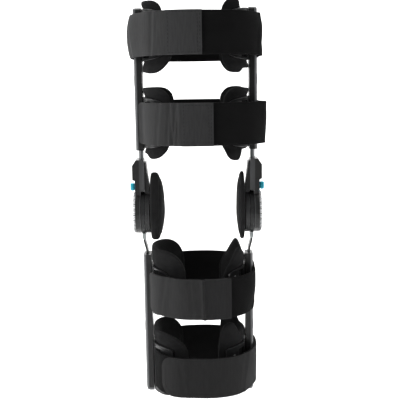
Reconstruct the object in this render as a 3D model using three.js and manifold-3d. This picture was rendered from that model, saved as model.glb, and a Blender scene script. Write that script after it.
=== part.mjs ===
// Hinged knee brace, in millimetres: -Y the front, +X the right as seen from the front, +Z up.
// The origin is the middle of the knee, on the hinge axis, which runs along X.
// The names say left and right as seen from the front.
import * as THREE from "three";
import { mergeVertices } from "three/addons/utils/BufferGeometryUtils.js";
import Module from "manifold-3d";

const wasm = await Module();
wasm.setup();

// Clearances
const seatGap = 0.3; // between pieces that are fastened or lie on each other
const slideGap = 0.4; // round a bar in its shell and a slider in its groove
const headGap = 0.6; // each side of the turning head in the hinge
const hookGap = 0.7; // between a pad and its cuff, where the hook fastener is
const past = 5; // how far a cutter runs past the face it opens

// Uprights
const thighHalfWidth = 94; // outer face of the thigh shell
const calfHalfWidth = 86.6; // outer face of the calf shell
const shellThickness = 12;
const shellWidth = 29;
const shellChamfer = 2.5;
const shellEndRadius = 9; // seen from the side
const shellOuterRadius = { thigh: 5, calf: 11 }; // of the outer corner at the round end, from the front
const thighShellTop = 314.5;
const thighShellBottom = 98.5;
const calfShellTop = -66.7;
const calfShellBottom = -294;
const shellOuterWall = 3.5;
const barThickness = 3;
const railThickness = 3;
const barWidth = 20;
const barInShell = 136; // length of each bar inside its shell
const railShorter = 6; // the rail ends below the bar
const cavityRoom = 6; // room in the shell past the end of the bar
const buttonLength = 18;
const buttonWidth = 12;
const buttonDepth = 2;
const buttonProud = 0.8;
const thighButtonZ = 206;
const calfButtonZ = -186;

// Hinge
const hingeInset = 9; // middle of the turning head, in from the thigh shell's outer face
const headThickness = 5.4;
const headRadius = 33;
const headRelief = 1; // round the turning head in the housing
const discRadius = 33.5;
const innerPlateThickness = 7;
const innerPlateTop = 80; // its tab thins towards the top from the height of the taper
const innerPlateTaper = 34;
const innerPlateTip = 2;
const innerPlateWidth = 26;
const housingThickness = 8;
const neckTop = 84;
const neckWidth = 34;
const neckProud = 4.7; // how far the neck stands out past the round housing
const neckBottom = 22; // its foot lies inside the round housing
const neckAboveHead = 1.8; // from the turning head up to the foot of its inner half
const neckStepZ = 51.1;
const neckStepRise = 1.6;
const neckChamferAcross = 6;
const neckChamferDown = 9;
const neckInnerChamfer = 1;
const socketDepth = 40;
const dialRadius = 33;
const dialHole = 13;
const dialThickness = 3.6;
const dialBevel = 2.8;
const pinRadius = 5;
const pinFloor = 2; // wall of the inner plate left behind the pin
const capRadius = 11;
const capRise = 1.2;

// Quick lock
const lockTravel = 4;
const sliderLength = 18.6;
const sliderWidth = 14;
const sliderThickness = 3.3;
const sliderProud = 1.9;
const knobLength = 12.6;
const knobWidth = 11;
const knobHeight = 6.8;
const knobBevel = 1.6;

// Calf bar
const tabBottom = -41;
const bendBottom = -65;
const calfHeadTabWidth = 24;
const tabLap = 4; // overlap of the strip on the tab
const bendSteps = 6;

// Knee pads
const kneePadHeight = 108;
const kneePadWidth = 75;
const kneePadCentreZ = 9;
const kneePadRim = { left: 8, right: 4 };
const kneePadCrown = { left: 22, right: 12.5 }; // the right pad lies flatter
const kneePadHubRadius = 24;
const kneePadHub = 0.8;
const kneePadBackEdge = 0.03; // slope of the rim's back edge as a share of the width

// Cuffs and pads
const cuffThickness = 2.5;
const padThickness = 9;
const thighCuffDepth = 66; // half the depth of the cuffs' curve, front to back
const calfCuffDepth = 60;
const cuffSquareness = 2.6;
const cuffShoulder = 2.4;

// Straps
const strapWidth = 63;
const bandThickness = 2.5;
const frontThickness = 2;
const tabThickness = 1.6;
const thighStrapFront = 83; // reach of the loops in front of the hinge axis and behind it
const thighStrapBack = 84;
const calfStrapDepth = 76;
const strapSquareness = 2.4;
const bulgeStart = 8; // degrees from the upright where a loop starts to stand out, and is fully out
const bulgeFull = 26;

// The two halves of the leg; the rows below place their pieces along the upright as shares of the
// height of its round end, and give widths and heights as shares of the strap width
const legs = {
  thigh: {
    halfWidth: thighHalfWidth,
    end: thighShellTop,
    cuffDepth: thighCuffDepth,
    front: thighStrapFront,
    back: thighStrapBack,
  },
  calf: {
    halfWidth: calfHalfWidth,
    end: calfShellBottom,
    cuffDepth: calfCuffDepth,
    front: calfStrapDepth,
    back: calfStrapDepth,
  },
};

// Cuffs: tip is the distance of both tips from the middle plane as a share of the half width, and
// tipHeight the share of the height left there
const cuffRows = [
  { name: "thigh_upper", leg: "thigh", at: 0.868, height: 1.22, tip: 0.6, tipHeight: 0.72 },
  { name: "thigh_lower", leg: "thigh", at: 0.4515, height: 1.22, tip: 0.6, tipHeight: 0.72 },
  { name: "calf_upper", leg: "calf", at: 0.4115, height: 1.22, tip: 0.64, tipHeight: 0.72 },
  { name: "calf_lower", leg: "calf", at: 0.84, height: 1.26, tip: 0.56, tipHeight: 0.85 },
];

// Pads: the front and back tips as shares of the half width, and the heights of the upper and lower
// edge above and below the cuff's middle as shares of the strap width
const padRows = [
  { cuff: "thigh_upper", side: "left", front: 0.42, back: 0.5, up: 0.794, down: 0.905 },
  { cuff: "thigh_upper", side: "right", front: 0.5, back: 0.5, up: 0.825, down: 0.905 },
  { cuff: "thigh_lower", side: "left", front: 0.46, back: 0.44, up: 0.841, down: 0.857 },
  { cuff: "thigh_lower", side: "right", front: 0.53, back: 0.5, up: 0.841, down: 0.905 },
  { cuff: "calf_upper", side: "left", front: 0.28, back: 0.34, up: 1.079, down: 0.5 },
  { cuff: "calf_upper", side: "right", front: 0.52, back: 0.5, up: 1.1, down: 0.62 },
  { cuff: "calf_lower", side: "left", front: 0.25, back: 0.4, up: 0.984, down: 0.683 },
  { cuff: "calf_lower", side: "right", front: 0.42, back: 0.5, up: 1.24, down: 0.683 },
];
// Upper and lower edges of the pads: where along the wing its lobe starts to rise, is highest and has
// come down to the tip, how square its shoulder is, and how much lower the pad is by the upright
const lobeRows = {
  thigh_upper_left: {
    up: { rise: 0, peak: 0.2, reach: 0.8, square: 5, waist: 0 },
    down: { rise: 0.2, peak: 0.5, reach: 1, square: 2.2, waist: 0.03 },
  },
  thigh_upper_right: {
    up: { rise: 0.48, peak: 0.68, reach: 1, square: 3.2, waist: 0.3 },
    down: { rise: 0.45, peak: 0.62, reach: 1, square: 3, waist: 0.12 },
  },
  thigh_lower_left: {
    up: { rise: 0, peak: 0.5, reach: 0.97, square: 4, waist: 0 },
    down: { rise: 0.3, peak: 0.5, reach: 0.95, square: 2.6, waist: 0.12 },
  },
  thigh_lower_right: {
    up: { rise: 0.3, peak: 0.55, reach: 1, square: 3.6, waist: 0.04 },
    down: { rise: 0.5, peak: 0.68, reach: 1, square: 3.2, waist: 0.28 },
  },
  calf_upper_left: {
    up: { rise: 0, peak: 0.45, reach: 1, square: 3, waist: 0 },
    down: { rise: 0, peak: 0.5, reach: 1, square: 3, waist: 0 },
  },
  calf_upper_right: {
    up: { rise: 0.2, peak: 0.55, reach: 1, square: 1.2, waist: 0.25 },
    down: { rise: 0, peak: 0.3, reach: 1, square: 3, waist: 0 },
  },
  calf_lower_left: {
    up: { rise: 0, peak: 0.3, reach: 1, square: 3, waist: 0 },
    down: { rise: 0, peak: 0.2, reach: 1, square: 3, waist: 0 },
  },
  calf_lower_right: {
    up: { rise: 0.4, peak: 0.72, reach: 1, square: 3, waist: 0.3 },
    down: { rise: 0, peak: 0.2, reach: 1, square: 3, waist: 0 },
  },
};
const padTipHeight = 0.3;
const padEdge = 0.36; // thickness at the rim as a share of the thickness in the middle

// Straps: rise lifts the back, and the last three columns say how far the loop stands out past the
// uprights in front of them on the left and right, and behind the left one
const strapRows = [
  { name: "strap_1", leg: "thigh", at: 0.8712, rise: -0.127, left: 0, right: 0.19, leftBack: 0 },
  { name: "strap_2", leg: "thigh", at: 0.4515, rise: 0, left: -0.254, right: 0.349, leftBack: -0.254 },
  { name: "strap_3", leg: "calf", at: 0.4167, rise: 0.159, left: -0.254, right: 0.095, leftBack: -0.254 },
  { name: "strap_4", leg: "calf", at: 0.8452, rise: 0.079, left: -0.254, right: 0, leftBack: -0.254 },
];
// Front layers and tabs: the angle where the layer starts, how far it stands off there as a share of
// the band's thickness, its corners there as a share of the strap width, and the tab's ends as
// distances from the middle plane in half widths of the leg, + to the right
const frontRows = [
  { strap: "strap_1", start: 160, flare: 0, corner: 0.064, tabStart: -0.447, tabEnd: 0.106 },
  { strap: "strap_2", start: 199, flare: 0.6, corner: 0.08, tabStart: -0.223, tabEnd: 0.266 },
  { strap: "strap_3", start: 203, flare: 0.6, corner: 0.159, tabStart: 0.092, tabEnd: 0.566 },
];
const tabOverhang = 6; // of the tab past the end of the layer under it
const flareAngle = 40; // stretch over which a layer comes down on the band
const looseEndX = -58; // where the free end of strap 4 stops
const looseEndStart = 18; // angle behind the right upright where its outer layer starts
const looseCorner = 20; // radius of the free end's corners
// Dents and creases of the straps: place round the loop and spread in degrees, depth in thicknesses
// of the band
const dentRows = [
  { strap: "strap_1", angle: 214, depth: 1, spread: 9 },
  { strap: "strap_1", angle: 292, depth: 0.6, spread: 14 },
  { strap: "strap_2", angle: 246, depth: 1, spread: 9 },
  { strap: "strap_2", angle: 308, depth: 0.8, spread: 14 },
  { strap: "strap_3", angle: 236, depth: 0.8, spread: 10 },
  { strap: "strap_4", angle: 262, depth: 0.8, spread: 12 },
];
const slotClearance = 1; // above and below a strap in its slot
const slotNear = 0.95; // sides of the slot as shares of the cuff's half width
const slotFar = 0.84;
const slotDepthShare = 0.56; // its middle as a share of the cuff's depth
const threadedAngle = 24; // where a threaded strap ends in the slots, from the left upright

// Steps of the curved pieces
const ringSteps = 48;
const roundSteps = 32;
const smallSteps = 16;
const cuffSteps = 16;
const padSteps = 16;
const padRowSteps = 3;
const kneePadSteps = 24;
const kneePadRings = 5;
const cornerShares = [0, 0.08, 0.25, 0.55, 1]; // steps round a layer's corner
const frontFrom = 185; // angles between which a layer's end in front is looked for, and how finely
const frontTo = 355;
const halvings = 30;

// Where the pieces of an upright lie across the leg, from the sizes above
const hingeX = thighHalfWidth - hingeInset;
const barOuter = thighHalfWidth - shellOuterWall - slideGap;
const barInner = barOuter - barThickness;
const railOuter = barInner - seatGap;
const railInner = railOuter - railThickness;
const calfBarX = calfHalfWidth - shellThickness / 2;
const headInner = hingeX - headThickness / 2;
const headOuter = hingeX + headThickness / 2;
const innerPlateOuter = headInner - headGap;
const innerPlateInner = innerPlateOuter - innerPlateThickness;
const housingInner = headOuter + headGap;
const housingOuter = housingInner + housingThickness;
const neckInner = innerPlateOuter + seatGap;
const neckOuter = housingOuter + neckProud;
const dialInner = housingOuter + seatGap;
const dialOuter = dialInner + dialThickness;
const barBottom = neckTop - socketDepth;
const barTop = thighShellBottom + barInShell;
const calfBarBottom = calfShellTop - barInShell;
const pinEnd = innerPlateInner + pinFloor + seatGap;

// Rows with the sizes of their leg and their lengths worked out
const onLeg = (rows) => rows.map((row) => ({ ...row, ...legs[row.leg], z: row.at * legs[row.leg].end }));
const cuffs = onLeg(cuffRows);
const straps = onLeg(strapRows).map((row) => ({
  ...row,
  rise: row.rise * strapWidth,
  left: row.left * strapWidth,
  right: row.right * strapWidth,
  leftBack: row.leftBack * strapWidth,
}));
const fronts = frontRows.map((row) => {
  const strap = straps.find((other) => other.name === row.strap);
  return {
    strap,
    start: row.start,
    flare: row.flare * bandThickness,
    corner: row.corner * strapWidth,
    tabStart: row.tabStart * strap.halfWidth,
    tabEnd: row.tabEnd * strap.halfWidth,
  };
});

// Materials
function material(color, roughness, metalness = 0) {
  return new THREE.MeshStandardMaterial({ color, roughness, metalness });
}
const blackPlastic = () => material(0x151617, 0.42);
const blackMetal = () => material(0x17191a, 0.38, 0.6);
const aluminium = () => material(0x8d9193, 0.35, 0.9);
const whitePlastic = () => material(0xd8dadb, 0.5);
const darkBlue = () => material(0x14313c, 0.5);
const cyanPlastic = () => material(0x1ba5bd, 0.4);
const foam = () => material(0x1e1f20, 0.95);
const elastic = () => material(0x161617, 0.9);
const brushedFabric = () => material(0x434345, 0.95);
const hookTab = () => material(0x343536, 0.9);

// Solids
function solidOf(geometry) {
  const bare = geometry.index ? geometry.toNonIndexed() : geometry.clone();
  bare.deleteAttribute("normal");
  bare.deleteAttribute("uv");
  const merged = mergeVertices(bare, 1e-4);
  return new wasm.Manifold(
    new wasm.Mesh({
      numProp: 3,
      vertProperties: new Float32Array(merged.attributes.position.array),
      triVerts: new Uint32Array(merged.index.array),
    }),
  );
}

function geometryOf(solid) {
  const mesh = solid.getMesh();
  const geometry = new THREE.BufferGeometry();
  geometry.setAttribute("position", new THREE.BufferAttribute(mesh.vertProperties.slice(), 3));
  geometry.setIndex(new THREE.BufferAttribute(mesh.triVerts.slice(), 1));
  const flat = geometry.toNonIndexed();
  flat.computeVertexNormals();
  return flat;
}

function box(x0, x1, y0, y1, z0, z1) {
  const shape = new THREE.BoxGeometry(x1 - x0, y1 - y0, z1 - z0);
  return shape.translate((x0 + x1) / 2, (y0 + y1) / 2, (z0 + z1) / 2);
}

// Outline drawn in Y and Z, pushed along X
function alongX(outline, x0, x1, bevel = 0) {
  const shape = new THREE.ExtrudeGeometry(outline, {
    depth: x1 - x0 - 2 * bevel,
    bevelEnabled: bevel > 0,
    bevelThickness: bevel,
    bevelSize: bevel,
    bevelOffset: -bevel,
    bevelSegments: 1,
    curveSegments: smallSteps / 2,
  });
  const turn = new THREE.Matrix4().makeBasis(
    new THREE.Vector3(0, 1, 0),
    new THREE.Vector3(0, 0, 1),
    new THREE.Vector3(1, 0, 0),
  );
  return shape.applyMatrix4(turn).translate(x0 + bevel, 0, 0);
}

// Outline drawn in X and Y, pushed along Z
function alongZ(outline, z0, z1) {
  const shape = new THREE.ExtrudeGeometry(outline, { depth: z1 - z0, bevelEnabled: false });
  return shape.translate(0, 0, z0);
}

// Outline drawn in X and Z, pushed along Y
function alongY(outline, y0, y1) {
  const shape = new THREE.ExtrudeGeometry(outline, { depth: y1 - y0, bevelEnabled: false });
  return shape.rotateX(Math.PI / 2).translate(0, y1, 0);
}

function polygon(points) {
  return new THREE.Shape(points.map(([a, b]) => new THREE.Vector2(a, b)));
}

// Cylinder round the hinge axis
function disc(radius, x0, x1, steps = roundSteps) {
  const shape = new THREE.CylinderGeometry(radius, radius, x1 - x0, steps);
  return shape.rotateZ(Math.PI / 2).translate((x0 + x1) / 2, 0, 0);
}

// Body turned round the hinge axis from a closed profile of [radius, x] points
function turned(profile, steps = roundSteps) {
  const points = profile.map(([radius, x]) => new THREE.Vector2(radius, x));
  const shape = new THREE.LatheGeometry([...points, points[0]], steps);
  return shape.rotateZ(-Math.PI / 2);
}

// Closed sheet between an outer and an inner surface: u runs anticlockwise seen from above, v upwards
function sheet(columns, rows, outer, inner, ring = false) {
  const stations = ring ? columns : columns + 1;
  const points = [];
  for (const surface of [outer, inner])
    for (let i = 0; i < stations; i++)
      for (let j = 0; j <= rows; j++) points.push(...surface(i / columns, j / rows));
  const at = (side, i, j) => (side * stations + (i % stations)) * (rows + 1) + j;
  const faces = [];
  const quad = (a, b, c, d) => faces.push(a, b, c, a, c, d);
  for (let i = 0; i < columns; i++) {
    for (let j = 0; j < rows; j++) {
      quad(at(0, i, j), at(0, i + 1, j), at(0, i + 1, j + 1), at(0, i, j + 1));
      quad(at(1, i, j), at(1, i, j + 1), at(1, i + 1, j + 1), at(1, i + 1, j));
    }
    quad(at(1, i, 0), at(1, i + 1, 0), at(0, i + 1, 0), at(0, i, 0));
    quad(at(0, i, rows), at(0, i + 1, rows), at(1, i + 1, rows), at(1, i, rows));
  }
  if (!ring)
    for (let j = 0; j < rows; j++) {
      quad(at(1, 0, j), at(0, 0, j), at(0, 0, j + 1), at(1, 0, j + 1));
      quad(at(0, columns, j), at(1, columns, j), at(1, columns, j + 1), at(0, columns, j + 1));
    }
  const geometry = new THREE.BufferGeometry();
  geometry.setAttribute("position", new THREE.BufferAttribute(new Float32Array(points), 3));
  geometry.setIndex(faces);
  return geometry;
}

// Uprights
function shellOutline(outer) {
  const half = shellWidth / 2;
  const inner = outer - shellThickness;
  return polygon([
    [inner, -half],
    [outer - shellChamfer, -half],
    [outer, -half + shellChamfer],
    [outer, half - shellChamfer],
    [outer - shellChamfer, half],
    [inner, half],
  ]);
}

// Side view of a shell: square at the end that takes the bar, round at the other
function shellSide(squareEnd, roundEnd) {
  const half = shellWidth / 2;
  const up = Math.sign(roundEnd - squareEnd);
  const start = roundEnd - up * shellEndRadius;
  const side = new THREE.Shape();
  side.moveTo(-half, squareEnd);
  side.lineTo(half, squareEnd);
  side.lineTo(half, start);
  side.quadraticCurveTo(half, roundEnd, half - shellEndRadius, roundEnd);
  side.lineTo(-half + shellEndRadius, roundEnd);
  side.quadraticCurveTo(-half, roundEnd, -half, start);
  return side;
}

function roundedBar(length, width) {
  const half = width / 2;
  const reach = length / 2 - half;
  const outline = new THREE.Shape();
  outline.absarc(0, reach, half, 0, Math.PI);
  outline.absarc(0, -reach, half, Math.PI, 2 * Math.PI);
  return outline;
}

// Front view of a shell: its outer corner is rounded at the round end
function shellFront(outer, squareEnd, roundEnd, radius) {
  const inner = outer - shellThickness;
  const up = Math.sign(roundEnd - squareEnd);
  const start = roundEnd - up * radius;
  const front = new THREE.Shape();
  front.moveTo(inner, squareEnd);
  front.lineTo(outer, squareEnd);
  front.lineTo(outer, start);
  front.quadraticCurveTo(outer, roundEnd, outer - radius, roundEnd);
  front.lineTo(inner, roundEnd);
  return front;
}

function buttonAt(outerFace, z, grow) {
  const depth = buttonDepth + (grow ? seatGap : 0);
  const outline = roundedBar(buttonLength + 2 * grow, buttonWidth + 2 * grow);
  const end = outerFace + (grow ? past : buttonProud);
  return alongX(outline, outerFace - depth, end).translate(0, 0, z);
}

function shell(outer, squareEnd, roundEnd, radius, cavity, buttonZ) {
  const low = Math.min(squareEnd, roundEnd);
  const high = Math.max(squareEnd, roundEnd);
  const sideView = shellSide(squareEnd, roundEnd);
  const body = solidOf(alongZ(shellOutline(outer), low, high));
  const side = solidOf(alongX(sideView, outer - 2 * shellThickness, outer + shellThickness));
  const frontView = shellFront(outer, squareEnd, roundEnd, radius);
  const front = solidOf(alongY(frontView, -shellWidth, shellWidth));
  const up = Math.sign(roundEnd - squareEnd);
  const ends = [squareEnd - up * past, squareEnd + up * (barInShell + cavityRoom)].sort((a, b) => a - b);
  const half = barWidth / 2 + slideGap;
  return body
    .intersect(side)
    .intersect(front)
    .subtract(solidOf(box(cavity[0], cavity[1], -half, half, ...ends)))
    .subtract(solidOf(buttonAt(outer, buttonZ, seatGap)));
}

const thighShell = () =>
  shell(
    thighHalfWidth,
    thighShellBottom,
    thighShellTop,
    shellOuterRadius.thigh,
    [railInner - slideGap, barOuter + slideGap],
    thighButtonZ,
  );

const calfShell = () =>
  shell(
    calfHalfWidth,
    calfShellTop,
    calfShellBottom,
    shellOuterRadius.calf,
    [calfBarX - barThickness / 2 - slideGap, calfBarX + barThickness / 2 + slideGap],
    calfButtonZ,
  );

function thighBar() {
  return box(barInner, barOuter, -barWidth / 2, barWidth / 2, barBottom, barTop);
}

function thighRail() {
  return box(railInner, railOuter, -barWidth / 2, barWidth / 2, barBottom, barTop - railShorter);
}

// Hinge
function hingeHousing() {
  const half = neckWidth / 2;
  const chamferTop = neckTop - neckChamferDown;
  const lockBottom = dialRadius + seatGap;
  const sliderOuter = housingOuter + sliderProud;
  const innerFoot = headRadius + neckAboveHead;
  const side = polygon([
    [neckInner, innerFoot],
    [housingInner, innerFoot],
    [housingInner, neckBottom],
    [housingOuter, neckBottom],
    [housingOuter, neckStepZ],
    [neckOuter, neckStepZ + neckStepRise],
    [neckOuter, chamferTop],
    [neckOuter - neckChamferAcross, neckTop],
    [neckInner + neckInnerChamfer, neckTop],
    [neckInner, chamferTop],
  ]);
  const socketHalf = barWidth / 2 + seatGap;
  const grooveHalf = sliderWidth / 2 + slideGap;
  const grooveTop = lockBottom + seatGap + sliderLength + lockTravel + slideGap;
  const socketFrom = railInner - seatGap;
  const socketTo = barOuter + seatGap;
  const socketFloor = barBottom - seatGap;
  const socket = box(socketFrom, socketTo, -socketHalf, socketHalf, socketFloor, neckTop + past);
  const grooveFrom = sliderOuter - sliderThickness - seatGap;
  const grooveTo = sliderOuter + slideGap;
  const groove = box(grooveFrom, grooveTo, -grooveHalf, grooveHalf, lockBottom, grooveTop);
  return solidOf(disc(discRadius, housingInner, housingOuter))
    .add(solidOf(alongY(side, -half, half)))
    .subtract(solidOf(disc(headRadius + headRelief, neckInner - past, housingInner)))
    .subtract(solidOf(disc(pinRadius + seatGap, housingInner - past, housingOuter + past, smallSteps)))
    .subtract(solidOf(socket))
    .subtract(solidOf(groove));
}

function innerPlate() {
  const half = innerPlateWidth / 2;
  const tab = polygon([
    [innerPlateInner, 0],
    [innerPlateOuter, 0],
    [innerPlateOuter, innerPlateTop],
    [innerPlateOuter - innerPlateTip, innerPlateTop],
    [innerPlateInner, innerPlateTaper],
  ]);
  return solidOf(disc(discRadius, innerPlateInner, innerPlateOuter))
    .add(solidOf(alongY(tab, -half, half)))
    .subtract(solidOf(disc(pinRadius + seatGap, pinEnd - seatGap, innerPlateOuter + past, smallSteps)));
}

function dial() {
  return turned([
    [dialHole, dialInner],
    [dialRadius, dialInner],
    [dialRadius, dialOuter - dialBevel],
    [dialRadius - dialBevel, dialOuter],
    [dialHole, dialOuter],
  ]);
}

function pivot() {
  return turned(
    [
      [0, pinEnd],
      [pinRadius, pinEnd],
      [pinRadius, dialInner],
      [capRadius, dialInner],
      [capRadius, dialOuter],
      [capRadius - capRise, dialOuter + capRise],
      [0, dialOuter + capRise],
    ],
    smallSteps,
  );
}

function lockSlider() {
  const outer = housingOuter + sliderProud;
  const half = sliderWidth / 2;
  const bottom = dialRadius + 2 * seatGap;
  return box(outer - sliderThickness, outer, -half, half, bottom, bottom + sliderLength);
}

function lockKnob() {
  const inner = housingOuter + sliderProud + seatGap;
  const bottom = dialRadius + 3 * seatGap;
  const outline = roundedBar(knobLength, knobWidth);
  const shape = alongX(outline, inner, inner + knobHeight, knobBevel);
  return shape.translate(0, 0, bottom + knobLength / 2);
}

function kneePad(side) {
  const back = innerPlateInner - seatGap - kneePadHub;
  const thick = kneePadRim[side];
  const crown = [];
  for (let i = 0; i <= kneePadRings; i++) {
    const angle = (i / kneePadRings) * (Math.PI / 2);
    const depth = THREE.MathUtils.lerp(thick, kneePadCrown[side], Math.sin(angle));
    crown.push([Math.cos(angle) / 2, back - depth]);
  }
  const edge = [0.5 - kneePadBackEdge, back];
  const profile = [...crown.reverse(), [0.5, back - thick / 2], edge, [0, back]];
  const rim = turned(profile, kneePadSteps);
  rim.scale(1, kneePadWidth, kneePadHeight).translate(0, 0, kneePadCentreZ);
  const hub = disc(kneePadHubRadius, back - kneePadHub, innerPlateInner - seatGap, kneePadSteps);
  return solidOf(rim).add(solidOf(hub));
}

// Bar of the calf: the hinge head, its tab and a strip that bends in to the calf shell
function calfBar() {
  const bend = [];
  for (let i = 0; i <= bendSteps; i++) {
    const share = i / bendSteps;
    const x = THREE.MathUtils.lerp(hingeX, calfBarX, THREE.MathUtils.smoothstep(share, 0, 1));
    bend.push([x, THREE.MathUtils.lerp(tabBottom, bendBottom, share)]);
  }
  bend.push([calfBarX, calfBarBottom]);
  const half = barThickness / 2;
  const lap = [hingeX, tabBottom + tabLap];
  const centre = [lap, ...bend];
  const left = centre.map(([x, z]) => [x - half, z]);
  const right = centre.map(([x, z]) => [x + half, z]).reverse();
  const strip = alongY(polygon([...left, ...right]), -barWidth / 2, barWidth / 2);
  const tabHalf = calfHeadTabWidth / 2;
  return solidOf(disc(headRadius, headInner, headOuter))
    .add(solidOf(box(headInner, headOuter, -tabHalf, tabHalf, tabBottom, -2 * pinRadius)))
    .add(solidOf(strip))
    .subtract(solidOf(disc(pinRadius + seatGap, headInner - past, headOuter + past, smallSteps)));
}

// Cuffs and pads lie on one curve round the leg, set in from the shell by their own thickness
function curvePoint(halfWidth, depth, angle) {
  const power = 2 / cuffSquareness;
  return [
    halfWidth * Math.cos(angle) ** power,
    depth * Math.sign(angle) * Math.abs(Math.sin(angle)) ** power,
  ];
}

// Angle on the curve at which it has come in to a share of its half width
function tipAngle(share) {
  return Math.acos(share ** (cuffSquareness / 2));
}

// Height along a piece: full by the upright, falling to the tip share with a round shoulder
function shoulder(along, tipShare, roundness) {
  return tipShare + (1 - tipShare) * (1 - Math.abs(along) ** roundness) ** (1 / roundness);
}

// Runs from the front tip to the back tip with closer steps near both
function alongCurve(u, front, back) {
  const along = Math.sin((u - 0.5) * Math.PI);
  return { along, angle: along < 0 ? along * front : along * back };
}

function cuffOuter(row) {
  return row.halfWidth - shellThickness - seatGap;
}

function cuff(row) {
  const outer = cuffOuter(row);
  const reach = tipAngle(row.tip);
  const half = (row.height * strapWidth) / 2;
  const surface = (inset) => (u, v) => {
    const { along, angle } = alongCurve(u, reach, reach);
    const [x, y] = curvePoint(outer - inset, row.cuffDepth - inset, angle);
    return [x, y, row.z + (2 * v - 1) * half * shoulder(along, row.tipHeight, cuffShoulder)];
  };
  return sheet(cuffSteps, 1, surface(0), surface(cuffThickness));
}

// Cutter for the slot in a cuff's wing, in front (-1) or behind (1)
function cuffSlot(row, strap, side) {
  const outer = cuffOuter(row);
  const sides = [side * tipAngle(slotNear), side * tipAngle(slotFar)].sort((a, b) => a - b);
  const middle = strap.z + strapLift(strap, side * row.cuffDepth * slotDepthShare);
  const surface = (outward) => (u, v) => {
    const angle = THREE.MathUtils.lerp(...sides, u);
    const [x, y] = curvePoint(outer + outward, row.cuffDepth + outward, angle);
    return [x, y, middle + (v - 0.5) * (strapWidth + 2 * slotClearance)];
  };
  return sheet(3, 1, surface(cuffThickness), surface(-2 * cuffThickness));
}

function slottedCuff(row, strap) {
  return solidOf(cuff(row))
    .subtract(solidOf(cuffSlot(row, strap, 1)))
    .subtract(solidOf(cuffSlot(row, strap, -1)));
}

// Height of a pad's edge along a wing: lower by the upright, highest at the lobe, then falling
function lobe(along, { rise, peak, reach, square, waist }) {
  const place = Math.abs(along);
  const low = waist * (1 - THREE.MathUtils.smoothstep(place, rise, peak));
  const fall = Math.min(1, Math.max(0, (place - peak) / (reach - peak)));
  return padTipHeight + (1 - padTipHeight) * (1 - fall ** square) ** (1 / square) - low;
}

function pad(place, row) {
  const outer = cuffOuter(place) - cuffThickness - hookGap;
  const depth = place.cuffDepth - cuffThickness - hookGap;
  const front = tipAngle(row.front);
  const back = tipAngle(row.back);
  const edges = lobeRows[row.cuff + "_" + row.side];
  const surface = (inner) => (u, v) => {
    const { along, angle } = alongCurve(u, front, back);
    const across = 2 * v - 1;
    const crown = (1 - across ** 4) * (1 - along ** 6);
    const inset = inner * padThickness * (padEdge + (1 - padEdge) * crown);
    const [x, y] = curvePoint(outer - inset, depth - inset, angle);
    const top = row.up * strapWidth * lobe(along, edges.up);
    const bottom = -row.down * strapWidth * lobe(along, edges.down);
    return [x, y, place.z + THREE.MathUtils.lerp(bottom, top, v)];
  };
  return sheet(padSteps, padRowSteps, surface(0), surface(1));
}

// Straps run round a loop in polar angles: 0 right, 90 back, 180 left, 270 front
function loopRadius(strap, angle, outward) {
  const fold = Math.abs(((angle + 90) % 180) - 90);
  const onRight = Math.cos(THREE.MathUtils.degToRad(angle)) > 0;
  const inFront = Math.sin(THREE.MathUtils.degToRad(angle)) < 0;
  const flat = shellWidth / 2 - shellChamfer;
  const depth = inFront ? strap.front : strap.back;
  const n = strapSquareness;
  const hug = (strap.halfWidth + seatGap) / (1 - (flat / depth) ** n) ** (1 / n);
  const backBulge = onRight ? 0 : strap.leftBack;
  const frontBulge = onRight ? strap.right : strap.left;
  const bulge = inFront ? frontBulge : backBulge;
  const width = hug + bulge * THREE.MathUtils.smoothstep(fold, bulgeStart, bulgeFull) + outward;
  const cos = Math.abs(Math.cos(THREE.MathUtils.degToRad(angle))) / width;
  const sin = Math.abs(Math.sin(THREE.MathUtils.degToRad(angle))) / (depth + outward);
  return 1 / (cos ** n + sin ** n) ** (1 / n);
}

function dent(strap, angle) {
  const away = (row) => ((angle % 360) - row.angle) / row.spread;
  const depthOf = (row) => row.depth * bandThickness * Math.exp(-(away(row) ** 2));
  return dentRows.filter((row) => row.strap === strap.name).reduce((sum, row) => sum + depthOf(row), 0);
}

function strapLift(strap, y) {
  return strap.rise * (0.5 + y / (2 * strap.back));
}

function loopPoint(strap, angle, outward, v) {
  const radius = loopRadius(strap, angle, outward) - dent(strap, angle);
  const turn = THREE.MathUtils.degToRad(angle);
  const y = radius * Math.sin(turn);
  return [radius * Math.cos(turn), y, strap.z + strapLift(strap, y) + (v - 0.5) * strapWidth];
}

// Angle at which the loop's front crosses a distance from the middle plane
function frontAngle(strap, x, outward) {
  let low = frontFrom;
  let high = frontTo;
  for (let i = 0; i < halvings; i++) {
    const middle = (low + high) / 2;
    if (loopPoint(strap, middle, outward, 0)[0] < x) low = middle;
    else high = middle;
  }
  return low;
}

// Angle that a layer's corner takes up in front
function cornerTurn(strap, corner) {
  return THREE.MathUtils.radToDeg(corner / strap.front);
}

// Angles at which a layer is stepped: its own ends and round corners, and between them the same
// places for all layers of a strap, so that their flat faces stay apart
function stations(strap, from, to, corner = 0) {
  const step = 360 / ringSteps;
  const turn = cornerTurn(strap, corner);
  const angles = corner ? cornerShares.map((share) => from + share * turn) : [from];
  const last = angles.at(-1);
  for (let angle = Math.ceil(from / step) * step; angle < to; angle += step)
    if (angle > last + step / 8) angles.push(angle);
  return [...angles, to];
}

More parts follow.
